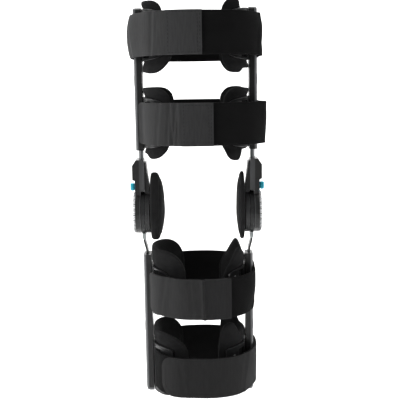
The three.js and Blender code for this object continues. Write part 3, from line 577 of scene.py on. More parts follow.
def printed_plastic(name, colour):
    """Satin dial plastic with faint marks"""
    material, shader = new_material(name, colour, 0.4)
    if not shader:
        return material
    links = material.node_tree.links
    place = add_node(material, "ShaderNodeTexCoord", (-1300, 0)).outputs["Object"]
    mottled(material, shader, colour, 0.86, 1.05, 220, place)
    grain = add_node(material, "ShaderNodeTexNoise", (-900, -300), Scale=1600, Detail=2)
    bump = add_node(material, "ShaderNodeBump", (-400, -300), Strength=0.06, Distance=0.0002)
    links.new(place, grain.inputs["Vector"])
    links.new(grain.outputs["Fac"], bump.inputs["Height"])
    links.new(bump.outputs["Normal"], shader.inputs["Normal"])
    return material


# Mesh helpers


def make_mesh(name, points, faces, material, uvs=None, sharp=40):
    """A new object from points and faces, smooth shaded but for its sharp edges"""
    mesh = bpy.data.meshes.new(name)
    mesh.from_pydata([tuple(p) for p in points], [], faces)
    if uvs:
        layer = mesh.uv_layers.new(name="UVMap")
        for poly, corners in zip(mesh.polygons, uvs):
            for loop, uv in zip(poly.loop_indices, corners):
                layer.data[loop].uv = uv
    mesh.validate()
    for poly in mesh.polygons:
        poly.use_smooth = True
    mesh.set_sharp_from_angle(angle=math.radians(sharp))
    mesh.materials.append(material)
    piece = bpy.data.objects.new(name, mesh)
    bpy.context.scene.collection.objects.link(piece)
    return piece


def join_parts(name, parts, material, sharp=40):
    """One mesh from several lists of points and faces"""
    points, faces = [], []
    for part_points, part_faces in parts:
        base = len(points)
        points += part_points
        faces += [tuple(base + i for i in face) for face in part_faces]
    return make_mesh(name, points, faces, material, sharp=sharp)


def add_modifier(piece, kind, name, **values):
    modifier = piece.modifiers.new(name, kind)
    for key, value in values.items():
        setattr(modifier, key, value)
    return modifier


def dress_node(node, material, bevel=0.0005):
    """A finish and softened edges for a solid that stays"""
    piece = NODES[node]
    piece.data.materials.clear()
    piece.data.materials.append(material)
    add_modifier(piece, "WELD", "join", merge_threshold=0.00001)
    if bevel:
        add_modifier(
            piece, "BEVEL", "edges", width=bevel, segments=2, limit_method="ANGLE",
            angle_limit=math.radians(35), use_clamp_overlap=True, harden_normals=False,
        )
    add_modifier(piece, "WEIGHTED_NORMAL", "shading", keep_sharp=True)
    return piece


def smoothstep(value, low, high):
    share = max(0.0, min(1.0, (value - low) / (high - low)))
    return share * share * (3 - 2 * share)


def mix(a, b, share):
    return a + (b - a) * share


def spaced(low, high, count):
    return [mix(low, high, i / count) for i in range(count + 1)]


def capsule(start, end, radius, normal, sides=6):
    """A stitch: a thread that dips at both ends"""
    along = end - start
    side = along.cross(normal).normalized()
    points, faces = [], []
    for share, thick, lift in STITCH_STATIONS:
        centre = start + along * share + normal * (lift * radius)
        for k in range(sides):
            turn = 2 * math.pi * k / sides
            points.append(centre + (side * math.cos(turn) + normal * math.sin(turn)) * radius * thick)
    rings = len(STITCH_STATIONS)
    for i in range(rings - 1):
        for k in range(sides):
            a, b = i * sides + k, i * sides + (k + 1) % sides
            faces.append((a, b, b + sides, a + sides))
    faces.append(tuple(range(sides))[::-1])
    faces.append(tuple(range((rings - 1) * sides, rings * sides)))
    return points, faces


# Curves that the cuffs and pads lie on


def curve_point(half_width, depth, angle):
    power = 2 / CUFF_SQUARENESS
    x = half_width * math.cos(angle) ** power
    return x, depth * math.copysign(abs(math.sin(angle)) ** power, angle)


def tip_angle(share):
    return math.acos(share ** (CUFF_SQUARENESS / 2))


def shoulder(along, tip_share, roundness):
    along = min(1.0, abs(along))
    return tip_share + (1 - tip_share) * (1 - along**roundness) ** (1 / roundness)


def lobe(along, edge):
    """Height of a pad's edge along a wing: lower by the upright, highest at the lobe, then falling"""
    place = abs(along)
    low = edge["waist"] * (1 - smoothstep(place, edge["rise"], edge["peak"]))
    fall = min(1.0, max(0.0, (place - edge["peak"]) / (edge["reach"] - edge["peak"])))
    return PAD_TIP_HEIGHT + (1 - PAD_TIP_HEIGHT) * (1 - fall ** edge["square"]) ** (1 / edge["square"]) - low


def cuff_outer(row):
    return row["leg"]["half_width"] - SHELL_THICKNESS - SEAT_GAP


def strap_lift(strap, y):
    return strap["rise"] * (0.5 + y / (2 * strap["leg"]["back"]))


def mirrored(points, faces, side):
    """The left upright's pieces are the right ones with X turned round"""
    if side == "right":
        return points, faces
    return [Vector((-p[0], p[1], p[2])) for p in points], [tuple(reversed(face)) for face in faces]


# Loops of the straps


def loop_radius(strap, angle, outward):
    leg = strap["leg"]
    turn = math.radians(angle)
    fold = abs((angle + 90) % 180 - 90)
    on_right, in_front = math.cos(turn) > 0, math.sin(turn) < 0
    flat = SHELL_WIDTH / 2 - SHELL_CHAMFER
    depth = leg["front"] if in_front else leg["back"]
    n = STRAP_SQUARENESS
    hug = (leg["half_width"] + SEAT_GAP) / (1 - (flat / depth) ** n) ** (1 / n)
    back_bulge = 0 if on_right else strap["left_back"]
    front_bulge = strap["right"] if on_right else strap["left"]
    bulge = front_bulge if in_front else back_bulge
    width = hug + bulge * smoothstep(fold, BULGE_START, BULGE_FULL) + outward
    cos, sin = abs(math.cos(turn)) / width, abs(math.sin(turn)) / (depth + outward)
    return 1 / (cos**n + sin**n) ** (1 / n)


def dent(strap, angle):
    rows = [row for row in DENTS if row["strap"] == strap["name"]]
    away = [((angle % 360) - row["angle"]) / row["spread"] for row in rows]
    return BAND_THICKNESS * sum(row["depth"] * math.exp(-(off**2)) for row, off in zip(rows, away))


def crease(strap, angle, across, waviness):
    """Fine creases and uneven places, the same for all layers of a strap so that they stay apart"""
    turn = angle % 360
    total = 0.0
    for row in CREASES:
        if row["strap"] == strap["name"]:
            off = (turn - row["angle"] - row["lean"] * across) / row["spread"]
            fold = math.exp(-(off**2)) - 0.35 * math.exp(-((off - 2) ** 2))
            total += row["depth"] * BAND_THICKNESS * fold
    ring = math.radians(turn)
    seed = 7.0 * STRAPS.index(strap)
    place = Vector((3.2 * math.cos(ring), 3.2 * math.sin(ring) + seed, across * 0.9))
    return total + waviness * noise.noise(place)


def loop_point(strap, angle, outward, across, width, waviness):
    """Point on a strap: across runs from -1 at the bottom edge to 1 at the top"""
    uprights = min(abs(((angle + 90) % 180) - 90) / 14.0, 1.0)
    ripple = crease(strap, angle, across, waviness) * uprights
    cup = strap["cup"] * (1 - across**2) * math.exp(-(((angle % 360 - CUP_MIDDLE) / CUP_SPREAD) ** 2))
    pull = strap["top_pull"] * smoothstep(across, 0.3, 1)
    pull += strap["bottom_pull"] * smoothstep(-across, -0.4, 1)
    pull *= math.exp(-(((angle % 360 - PULL_MIDDLE) / PULL_SPREAD) ** 2))
    radius = loop_radius(strap, angle, outward) - dent(strap, angle) - ripple + cup - pull
    turn = math.radians(angle)
    y = radius * math.sin(turn)
    return Vector((radius * math.cos(turn), y, strap["z"] + strap_lift(strap, y) + across * width / 2))


def front_angle(strap, x, outward):
    """Angle at which the loop's front crosses a distance from the middle plane"""
    low, high = 185.0, 355.0
    for _ in range(30):
        middle = (low + high) / 2
        reach = loop_radius(strap, middle, outward) - dent(strap, middle)
        if reach * math.cos(math.radians(middle)) < x:
            low = middle
        else:
            high = middle
    return low


def strip_section(rows):
    """Outline of a strip's cut end: (share of the flat width, share of the edge's roundness, share out)"""
    flat = [(2 * j / rows - 1) for j in range(rows + 1)]
    outer = [(a, 0.0, 1.0) for a in flat]
    top = [(1, 0.7, 0.87), (1, 1.0, 0.5), (1, 0.7, 0.13)]
    inner = [(a, 0.0, 0.0) for a in reversed(flat)]
    bottom = [(-1, -0.7, 0.13), (-1, -1.0, 0.5), (-1, -0.7, 0.87)]
    return outer + top + inner + bottom


def make_strip(
    name, strap, angles, inside, thickness, material, closed=False, flare=0.0, corner=0.0, rows=14
):
    """A layer of a strap as a closed strip with rounded edges, laid out flat for its weave"""
    sizes = bpy.context.scene.knee_brace.straps
    section = strip_section(rows)
    start = angles[0]
    turn = math.degrees(corner / strap["leg"]["front"]) if corner else 0
    edge = min(thickness / 2, 0.0009)
    points, places = [], []
    travelled, last = 0.0, None
    for angle in angles:
        off = flare * (1 - smoothstep(angle, start, start + FLARE_ANGLE))
        left = max(0.0, 1 - (angle - start) / turn) if corner else 0.0
        half = sizes.width / 2 - corner * (1 - math.sqrt(max(0.0, 1 - left * left)))
        middle = loop_point(strap, angle, inside + off, 0.0, sizes.width, sizes.waviness)
        travelled += (middle - last).length if last else 0.0
        last = middle
        for share, round_share, out in section:
            across = (share * (half - edge) + round_share * edge) / (sizes.width / 2)
            points.append(
                loop_point(strap, angle, inside + off + out * thickness, across, sizes.width, sizes.waviness)
            )
            places.append((travelled, across * sizes.width / 2))
    count, ring = len(section), len(angles)
    faces, uvs = [], []
    for i in range(ring if closed else ring - 1):
        j = (i + 1) % ring
        for k in range(count):
            m = (k + 1) % count
            face = (i * count + k, j * count + k, j * count + m, i * count + m)
            faces.append(face)
            after = travelled + (points[0] - points[i * count]).length if j == 0 else places[j * count][0]
            before = places[i * count][0]
            uvs.append([(before, places[face[0]][1]), (after, places[face[1]][1]),
                        (after, places[face[2]][1]), (before, places[face[3]][1])])
    if not closed:
        for i, order in ((0, 1), (ring - 1, -1)):
            cap = tuple(i * count + k for k in range(count))[::order]
            faces.append(cap)
            uvs.append([places[v] for v in cap])
    return make_mesh(name, points, faces, material, uvs, sharp=50)


def close_angles(start, end, step=2.0, corner=0.0, strap=None):
    """Angles for a layer, closer together round its corners"""
    first = []
    if corner:
        turn = math.degrees(corner / strap["leg"]["front"])
        first = [start + turn * (1 - math.cos(math.pi / 2 * i / 10)) for i in range(10)]
        start += turn
    count = max(2, round((end - start) / step))
    return first + spaced(start, end, count)


def stitch_line(strap, path, outward):
    """Stitches along a path of (angle, across) places on a strap"""
    sizes = bpy.context.scene.knee_brace.straps
    places = []
    for (a0, c0), (a1, c1) in zip(path, path[1:]):
        for i in range(40):
            places.append((mix(a0, a1, i / 40), mix(c0, c1, i / 40)))
    places.append(path[-1])
    spots = [loop_point(strap, a, outward, c, sizes.width, sizes.waviness) for a, c in places]
    parts, travelled, start = [], 0.0, None
    for (a, c), spot, following in zip(places, spots, spots[1:]):
        travelled += (following - spot).length
        if start is None:
            start, travelled = (spot, a), 0.0
        elif travelled > THREAD_SHOWN * sizes.stitch and start is not False:
            turn = math.radians((a + start[1]) / 2)
            normal = Vector((math.cos(turn), math.sin(turn), 0))
            parts.append(capsule(start[0], following, THREAD_RADIUS, normal))
            start = False
        elif start is False and travelled > sizes.stitch:
            start = None
    return parts


# Operators


class BRACE_OT_stage(bpy.types.Operator):
    """Set up the floor, the lights and the camera"""

    bl_idname = "brace.stage"
    bl_label = "Stage"

    def execute(self, context):
        stage = context.scene.knee_brace.stage
        profile = [(-2.0, 0.0)] + [
            (1.6 + 0.9 * math.sin(t), 0.9 - 0.9 * math.cos(t)) for t in spaced(0, math.pi / 2, 16)
        ] + [(2.5, 3.2)]
        points = [Vector((x, y, stage.floor + z)) for x in (-3.5, 3.5) for y, z in profile]
        n = len(profile)
        faces = [(i, n + i, n + i + 1, i + 1) for i in range(n - 1)]
        material, shader = new_material("studio_paper", (0.93, 0.93, 0.93), 0.9)
        floor = make_mesh("floor", points, faces, material)
        world = bpy.data.worlds.new("surround")
        world.use_nodes = True
        background = world.node_tree.nodes["Background"]
        background.inputs["Color"].default_value = (1, 1, 1, 1)
        background.inputs["Strength"].default_value = stage.surround
        context.scene.world = world
        context.scene.view_settings.view_transform = "Standard"
        lights = [
            ("front_light", (-1.3, -1.3, 0.8), (0, 0, 0), (1.2, 1.2), stage.key),
            ("left_strip", (-1.0, -0.04, 0.1), (0, -0.04, 0.1), (0.22, 1.8), stage.strip),
            ("right_strip", (1.0, -0.04, 0.1), (0, -0.04, 0.1), (0.22, 1.8), 0.8 * stage.strip),
            ("backdrop_light", (0, 0.9, 2.2), (0, 2.2, 0), (2.5, 0.8), stage.backdrop),
        ]
        for name, place, target, size, power in lights:
            light = bpy.data.lights.new(name, "AREA")
            light.shape = "RECTANGLE"
            light.size, light.size_y = size
            light.energy = power
            lamp = bpy.data.objects.new(name, light)
            lamp.location = place
            lamp.rotation_euler = (Vector(target) - Vector(place)).to_track_quat("-Z", "Y").to_euler()
            context.scene.collection.objects.link(lamp)
        view = bpy.data.cameras.new("camera")
        view.lens, view.sensor_width = 72, 36
        camera = bpy.data.objects.new("camera", view)
        turn = Matrix.Rotation(math.radians(90 - 9.09), 4, "X") @ Matrix.Rotation(math.radians(-0.82), 4, "Z")
        camera.matrix_world = Matrix.Translation((0.004, -1.25, 0.2175)) @ turn
        context.scene.collection.objects.link(camera)
        context.scene.camera = camera
        return {"FINISHED"}


class BRACE_OT_uprights(bpy.types.Operator):
    """Finish the shells, their buttons and the bars inside them"""

    bl_idname = "brace.uprights"
    bl_label = "Uprights"

    def execute(self, context):
        colours = context.scene.knee_brace.colours
        shells = {
            "thigh_shell": moulded_plastic("moulded_thigh_shell", colours.shell, 0.4, edge_highlight=1.1, shine=0.26),
            "calf_shell": moulded_plastic("moulded_calf_shell", colours.shell, 0.4, edge_highlight=1.1, shine=0.4),
        }
        # Painted highlight: a band along each shell's outer edge is painted much lighter
        for shell, leg in zip(shells.values(), (THIGH, CALF)):
            edge = [leg["half_width"] - inset for inset in OUTER_EDGE_HIGHLIGHT]
            banded(shell, "X", *edge, tinted(colours.shell, 12)[:3])
        # Painted highlight: bands along the calf shells' front and back edges are painted much lighter
        banded(shells["calf_shell"], "Y", *CHAMFER_HIGHLIGHT, tinted(colours.shell, 16)[:3])
        button = moulded_plastic("moulded_button", tinted(colours.shell, 0.8)[:3], 0.3)
        bar = drawn_metal("drawn_aluminium", (0.42, 0.43, 0.44), 0.32)
        rail = drawn_metal("black_metal", (0.012, 0.0125, 0.013), 0.34, shiny=0.3)
        arm = drawn_metal("blackened_arm", (0.012, 0.0125, 0.013), 0.34, shiny=0.3)
        banded(arm, "Z", *COLLAR, (0.34, 0.37, 0.37))
        for side in SIDES:
            for part, shell in shells.items():
                dress_node(f"{part}_{side}", shell, 0.0007)
            for part in ("thigh_button", "calf_button"):
                dress_node(f"{part}_{side}", button, 0.0005)
            dress_node(f"thigh_bar_{side}", bar, 0.0003)
            dress_node(f"thigh_rail_{side}", rail, 0.0003)
            dress_node(f"calf_bar_{side}", arm, 0.0004)
        return {"FINISHED"}


class BRACE_OT_hinges(bpy.types.Operator):
    """Finish the housings, plates, pivots and dials of the hinges"""

    bl_idname = "brace.hinges"
    bl_label = "Hinges"

    def execute(self, context):
        colours = context.scene.knee_brace.colours
        housing = moulded_plastic("moulded_housing", tinted(colours.shell, 2.4)[:3], 0.34, shine=0.5)
        banded(housing, "X", *COVER, tinted(colours.shell, 0.35)[:3])
        plate = moulded_plastic("moulded_plate", tinted(colours.shell, 1.1)[:3], 0.42)
        pin = drawn_metal("pin_metal", (0.06, 0.062, 0.066), 0.3)
        dial = printed_plastic("dial_plastic", (0.80, 0.81, 0.82))
        for side in SIDES:
            dress_node(f"hinge_housing_{side}", housing, 0.0009)
            dress_node(f"inner_plate_{side}", plate, 0.0006)
            dress_node(f"pivot_{side}", pin, 0.0003)
            dress_node(f"dial_{side}", dial, 0.0003)
        return {"FINISHED"}


class BRACE_OT_dial_marks(bpy.types.Operator):
    """Mark the dials with a plain scale of degrees"""

    bl_idname = "brace.dial_marks"
    bl_label = "Dial marks"

    def execute(self, context):
        ink = moulded_plastic("dial_ink", (0.01, 0.01, 0.011), 0.5, edge_highlight=1.0)
        for side in SIDES:
            low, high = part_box(f"dial_{side}")
            sign = 1 if side == "right" else -1
            face = high.x if side == "right" else low.x
            parts = []
            for i in range(360 // TICK_STEP):
                turn = math.radians(TICK_STEP * i)
                tick = TICKS["long" if i % 3 == 0 else "short"]
                out = Vector((0, math.sin(turn), math.cos(turn)))
                across = Vector((sign, 0, 0)).cross(out)
                beside, bold = across * tick["thin"], across * tick["bold"]
                front = Vector((face + sign * INK_RISE, 0, 0))
                inner = out * tick["inner"] + front
                edge = out * DIAL_FACE_EDGE + front
                rim = out * (DIAL_RIM + INK_LIFT) + Vector((face - sign * DIAL_BEVEL, 0, 0))
                side_end = out * DIAL_RIM + Vector((face - sign * TICK_END, 0, 0))
                points = []
                for spot, half in ((inner, beside), (edge, beside), (rim, bold), (side_end, bold)):
                    points += [spot - half, spot + half]
                faces = [(0, 1, 3, 2), (2, 3, 5, 4), (4, 5, 7, 6)]
                if sign < 0:
                    faces = [tuple(reversed(f)) for f in faces]
                parts.append((points, faces))
            marks = join_parts(f"dial_ticks_{side}", parts, ink)
            add_modifier(marks, "SOLIDIFY", "ink", thickness=INK_THICKNESS, offset=0)
            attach(marks, "knee")
            for degrees in range(0, 121, 30):
                text = bpy.data.curves.new(f"number_{degrees}_{side}", "FONT")
                text.body = str(degrees)
                text.size = NUMBER_HEIGHT
                text.extrude = INK_RISE
                text.align_x, text.align_y = "CENTER", "CENTER"
                turn = math.radians(degrees - 60)
                spot = Vector((face, NUMBER_RADIUS * math.sin(turn), NUMBER_RADIUS * math.cos(turn)))
                flat = bpy.data.objects.new(f"text_{degrees}_{side}", text)
                context.scene.collection.objects.link(flat)
                facing = Matrix(((0, 0, sign), (sign, 0, 0), (0, 1, 0))).to_4x4()
                rolled = Matrix.Rotation(-sign * turn, 4, "Z") if sign > 0 else Matrix.Rotation(turn, 4, "Z")
                context.view_layer.update()
                mesh = bpy.data.meshes.new_from_object(flat.evaluated_get(context.evaluated_depsgraph_get()))
                mesh.transform(Matrix.Translation(spot) @ facing @ rolled)
                mesh.materials.clear()
                mesh.materials.append(ink)
                number = bpy.data.objects.new(f"dial_number_{degrees}_{side}", mesh)
                context.scene.collection.objects.link(number)
                bpy.data.objects.remove(flat)
                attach(number, "knee")
        return {"FINISHED"}


class BRACE_OT_locks(bpy.types.Operator):
    """Finish the quick locks"""

    bl_idname = "brace.locks"
    bl_label = "Quick locks"

    def execute(self, context):
        colours = context.scene.knee_brace.colours
        knob = moulded_plastic("cyan_knob", colours.lock, 0.3, edge_highlight=1.4)
        slider = moulded_plastic("dark_blue_slider", (0.008, 0.035, 0.05), 0.4)
        for side in SIDES:
            dress_node(f"lock_knob_{side}", knob, 0.0004)
            dress_node(f"lock_slider_{side}", slider, 0.0004)
        return {"FINISHED"}


class BRACE_OT_cuffs(bpy.types.Operator):
    """Mould the eight cuffs with their strap slots, beads and rivets"""

    bl_idname = "brace.cuffs"
    bl_label = "Cuffs"

    def execute(self, context):
        settings = context.scene.knee_brace
        plastic = moulded_plastic("moulded_cuff", tinted(settings.colours.shell, 1.2)[:3], 0.33)
        steel = drawn_metal("rivet_metal", (0.22, 0.225, 0.23), 0.3)
        for row, strap in zip(CUFFS, STRAPS):
            points, faces, rivets = self.sheet(row, strap, settings)
            for side in SIDES:
                name = f"{row['name']}_cuff_{side}"
                cuff = make_mesh(f"moulded_{name}", *mirrored(points, faces, side), plastic)
                add_modifier(
                    cuff, "SOLIDIFY", "wall", thickness=settings.pads.cuff, offset=-1, use_even_offset=True
                )
                add_modifier(
                    cuff, "BEVEL", "edges", width=0.0006, segments=2, limit_method="ANGLE",
                    angle_limit=math.radians(50), use_clamp_overlap=True,
                )
                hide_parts(name)
                body = "thigh_frame" if row["z"] > 0 else "calf_frame"
                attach(cuff, body)
                heads = join_parts(
                    f"rivets_{name}", [mirrored(*rivet, side) for rivet in rivets], steel
                )
                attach(heads, body)
        return {"FINISHED"}

    def sheet(self, row, strap, settings):
        """Outer skin of a right-hand cuff, open at its two slots, and its rivets"""
        width = settings.straps.width
        outer, depth = cuff_outer(row), row["leg"]["cuff_depth"]
        reach = tip_angle(row["tip"])
        near, far = tip_angle(SLOT_NEAR), tip_angle(SLOT_FAR)
        half = row["height"] * width / 2
        base = spaced(-1, 1, 40)
        angles = [math.sin(a * math.pi / 2) * reach for a in base]
        angles = [a for a in angles if min(abs(abs(a) - near), abs(abs(a) - far)) > 0.012]
        angles = sorted(angles + [near, -near, far, -far])
        slot_half = width / 2 + SLOT_CLEARANCE
        grid = []
        for angle in angles:
            wing = math.copysign(1, angle)
            lift = strap_lift(strap, wing * depth * SLOT_DEPTH_SHARE)
            if abs(angle) < near:
                lift = mix(
                    strap_lift(strap, -depth * SLOT_DEPTH_SHARE),
                    strap_lift(strap, depth * SLOT_DEPTH_SHARE),
                    0.5 + 0.5 * angle / near,
                )
            tall = half * shoulder(angle / reach, row["tip_height"], CUFF_SHOULDER)
            low, high = row["z"] - tall, row["z"] + tall
            slot_low = max(strap["z"] + lift - slot_half, low + 0.003)
            slot_high = min(strap["z"] + lift + slot_half, high - 0.003)
            slot_low, slot_high = min(slot_low, high - 0.01), max(slot_high, low + 0.01)
            heights = spaced(low, slot_low, EDGE_ROWS)[:-1] + spaced(slot_low, slot_high, SLOT_ROWS)
            heights += spaced(slot_high, high, EDGE_ROWS)[1:]
            grid.append([(angle, z, low, high) for z in heights])
        points, faces = [], []
        for column in grid:
            for angle, z, low, high in column:
                x, y = curve_point(outer, depth, angle)
                clear = smoothstep(abs(y), SHELL_WIDTH / 2 + 0.002, SHELL_WIDTH / 2 + 0.008)
                edge = min(z - low, high - z, 0.06 * (1 - abs(angle) / reach) + 0.0005)
                bead = settings.pads.rim * math.exp(-((edge / 0.0022) ** 2)) * clear
                x, y = curve_point(outer + bead, depth + bead, angle)
                points.append(Vector((x, y, z)))
        rows = len(grid[0])
        for i, (left, right) in enumerate(zip(angles, angles[1:])):
            middle = abs(left + right) / 2
            in_slot = near < middle < far
            for j in range(rows - 1):
                if in_slot and EDGE_ROWS <= j < EDGE_ROWS + SLOT_ROWS:
                    continue
                a = i * rows + j
                faces.append((a, a + rows, a + rows + 1, a + 1))
        rivets = []
        for wing in (-1, 1):
            for up in (-1, 1):
                angle = wing * mix(far, reach, RIVET_PLACE)
                middle = strap["z"] + strap_lift(strap, wing * depth * SLOT_DEPTH_SHARE)
                rivets.append(self.rivet(outer, depth, angle, middle + up * RIVET_SPREAD))
        return points, faces, rivets

    def rivet(self, outer, depth, angle, z):
        """A domed rivet head on the cuff"""
        x, y = curve_point(outer, depth, angle)
        ahead = Vector(curve_point(outer, depth, angle + 0.01)) - Vector((x, y))
        side = Vector((ahead.x, ahead.y, 0)).normalized()
        normal = side.cross(Vector((0, 0, 1))).normalized()
        points, faces, sides = [], [], 14
        for radius, rise in RIVET_RINGS:
            for k in range(sides):
                turn = 2 * math.pi * k / sides
                flat = side * math.cos(turn) + Vector((0, 0, 1)) * math.sin(turn)
                points.append(Vector((x, y, z)) + flat * radius + normal * rise)
        top = (len(RIVET_RINGS) - 1) * sides
        for first in range(0, top, sides):
            for k in range(sides):
                a, b = first + k, first + (k + 1) % sides
                faces.append((a, a + sides, b + sides, b))
        faces.append(tuple(range(top, top + sides))[::-1])
        faces.append(tuple(range(sides)))
        return points, faces


class BRACE_OT_pads(bpy.types.Operator):
    """Make the eight foam pads with their sewn channels"""

    bl_idname = "brace.pads"
    bl_label = "Pads"

    def execute(self, context):
        settings = context.scene.knee_brace
        cloth = pad_cloth("pad_cloth", settings.colours.foam)
        for row in PADS:
            place = next(cuff for cuff in CUFFS if cuff["name"] == row["cuff"])
            name = f"{row['cuff']}_pad_{row['side']}"
            points, faces = self.pad(row, place, settings.pads)
            pad = make_mesh(f"foam_{name}", *mirrored(points, faces, row["side"]), cloth, sharp=70)
            add_modifier(pad, "SUBSURF", "smooth", levels=1, render_levels=1)
            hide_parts(name)
            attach(pad, "thigh_frame" if place["z"] > 0 else "calf_frame")
        return {"FINISHED"}

    def pad(self, row, place, sizes, columns=64, rows=26):
        """Closed pad: flat against the cuff, crowned towards the leg, with a round edge"""
        outer = cuff_outer(place) - sizes.cuff - HOOK_GAP
        depth = place["leg"]["cuff_depth"] - sizes.cuff - HOOK_GAP
        front, back = tip_angle(row["front"]), tip_angle(row["back"])
        edges = LOBES[f"{row['cuff']}_{row['side']}"]
        seed = hash_of(row["cuff"] + row["side"])

        def spot(u, v, inner, shrink):
            along = math.sin((u - 0.5) * math.pi) * (1 - shrink * 0.012)
            across = (2 * v - 1) * (1 - shrink * 0.02)
            angle = along * (front if along < 0 else back)
            crown = (1 - across**4) * (1 - along**6)
            top = row["up"] * STRAP_WIDTH * lobe(along, edges["up"])
            bottom = -row["down"] * STRAP_WIDTH * lobe(along, edges["down"])
            tall = (top - bottom) / 2
            edge = min((1 - abs(across)) * tall, (1 - abs(along)) * 0.10)
            groove = sizes.channel * math.exp(-(((edge - 0.0065) / 0.0013) ** 2))
            uneven = 0.0007 * noise.noise(Vector((along * 3, across * 2.5, seed))) * crown
            thick = sizes.pad * (PAD_EDGE + (1 - PAD_EDGE) * crown) - groove + uneven
            past = abs((top + bottom) / 2 + across * tall) - place["height"] * STRAP_WIDTH / 2
            curl = PAD_CURL * smoothstep(past, 0.001, 0.007) * (1 - inner * 0.3) - inner * thick
            x, y = curve_point(outer + curl, depth + curl, angle)
            return Vector((x, y, place["z"] + (top + bottom) / 2 + across * tall))

        points, faces = [], []
        for inner in (0.0, 1.0):
            points += [
                spot(i / columns, j / rows, inner, 1.0) for i in range(columns + 1) for j in range(rows + 1)
            ]
        count = (columns + 1) * (rows + 1)

        def at(inner, i, j):
            return inner * count + i * (rows + 1) + j

        for i in range(columns):
            for j in range(rows):
                faces.append((at(0, i, j), at(0, i + 1, j), at(0, i + 1, j + 1), at(0, i, j + 1)))
                faces.append((at(1, i, j), at(1, i, j + 1), at(1, i + 1, j + 1), at(1, i + 1, j)))
        border = [(i, 0) for i in range(columns)] + [(columns, j) for j in range(rows)]
        border += [(i, rows) for i in range(columns, 0, -1)] + [(0, j) for j in range(rows, 0, -1)]
        first = len(points)
        for level in (0.25, 0.75):
            points += [spot(i / columns, j / rows, level, 0.0) for i, j in border]
        n = len(border)
        for k in range(n):
            m = (k + 1) % n
            lower = at(0, *border[k]), at(0, *border[m])
            upper = at(1, *border[k]), at(1, *border[m])
            a, b = first + k, first + m
            faces.append((lower[1], lower[0], a, b))
            faces.append((b, a, a + n, b + n))
            faces.append((b + n, a + n, upper[0], upper[1]))
        return points, faces


def hash_of(text):
    """A steady number from a name, so that every pad is uneven in its own way"""
    return sum((i + 1) * ord(letter) for i, letter in enumerate(text)) % 97


class BRACE_OT_knee_pads(bpy.types.Operator):
    """Make the two crowned pads beside the knee"""

    bl_idname = "brace.knee_pads"
    bl_label = "Knee pads"

    def execute(self, context):
        settings = context.scene.knee_brace
        cloth = pad_cloth("knee_pad_cloth", tinted(settings.colours.foam, 1.2)[:3])
        for side in SIDES:
            low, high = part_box(f"knee_pad_{side}")
            sign = 1 if side == "right" else -1
            hub_face = max(abs(low.x), abs(high.x))
            points, faces = self.cushion(hub_face, side, low, high, settings.pads)
            pad = make_mesh(f"foam_knee_pad_{side}", *mirrored(points, faces, side), cloth, sharp=70)
            add_modifier(pad, "SUBSURF", "smooth", levels=1, render_levels=1)
            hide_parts(f"knee_pad_{side}")
            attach(pad, "knee")
        return {"FINISHED"}

    def cushion(self, hub_face, side, low, high, sizes):
        """Right-hand cushion: a crowned oval on a round hub, with a sewn edge"""
        back = hub_face - KNEE_PAD_HUB
        middle = (low.z + high.z) / 2
        across, tall = (high.y - low.y) / 2, (high.z - low.z) / 2
        rim, crown, segments = KNEE_PAD_RIM[side], KNEE_PAD_CROWN[side], 72
        profile = [(0.0, hub_face), (0.3, hub_face), (0.32, hub_face - 0.0002), (0.33, back + 0.0002)]
        profile += [(r, back) for r in (0.4, 0.6, 0.8, 0.9)]
        profile += [(0.955, back - 0.08 * rim), (0.985, back - 0.28 * rim), (1.0, back - 0.5 * rim)]
        for angle in spaced(0.06, math.pi / 2, 20):
            radius = math.cos(angle)
            depth = mix(rim, crown, math.sin(angle))
            groove = sizes.channel * 1.3 * math.exp(-(((radius - 0.86) / 0.028) ** 2))
            profile.append((radius, back - depth + groove))
        points, faces = [Vector((profile[0][1], 0, middle))], []
        for radius, x in profile[1:-1]:
            for k in range(segments):
                turn = 2 * math.pi * k / segments
                y, z = across * radius * math.cos(turn), tall * radius * math.sin(turn)
                pull = 0.00035 * math.sin(9 * turn + 0.6) * math.exp(-(((radius - 0.9) / 0.09) ** 2))
                uneven = 0.0006 * noise.noise(Vector((y * 40, z * 40, 3.0))) * (1 if x < back - rim else 0)
                points.append(Vector((x + (pull + uneven if x < back - 0.004 else 0), y, middle + z)))
        points.append(Vector((profile[-1][1], 0, middle)))
        rings = len(profile) - 2
        for i in range(rings - 1):
            for k in range(segments):
                a, b = 1 + i * segments + k, 1 + i * segments + (k + 1) % segments
                faces.append((a, a + segments, b + segments, b))
        for k in range(segments):
            m = (k + 1) % segments
            faces.append((0, 1 + k, 1 + m))
            last = 1 + (rings - 1) * segments
            faces.append((len(points) - 1, last + m, last + k))
        return points, [tuple(reversed(face)) for face in faces] if self.inside_out(points, faces) else faces

    def inside_out(self, points, faces):
        volume = 0.0
        for face in faces:
            for i in range(1, len(face) - 1):
                volume += points[face[0]].dot(points[face[i]].cross(points[face[i + 1]]))
        return volume < 0


class BRACE_OT_bands(bpy.types.Operator):
    """Weave the elastic bands of the four straps"""

    bl_idname = "brace.bands"
    bl_label = "Elastic bands"

    def execute(self, context):
        settings = context.scene.knee_brace
        elastic = woven_elastic("woven_elastic", settings.colours.elastic)
        for strap in STRAPS:
            threaded = strap["left"] < 0
            if threaded:
                angles = close_angles(180 + THREADED_ANGLE, 540 - THREADED_ANGLE)
            else:
                angles = spaced(0, 360, 200)[:-1]
            band = make_strip(
                f"{strap['name']}_webbing", strap, angles, 0.0, settings.straps.band, elastic,
                closed=not threaded,
            )
            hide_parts(f"{strap['name']}_band")
            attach(band, "thigh_frame" if strap["z"] > 0 else "calf_frame")
        return {"FINISHED"}


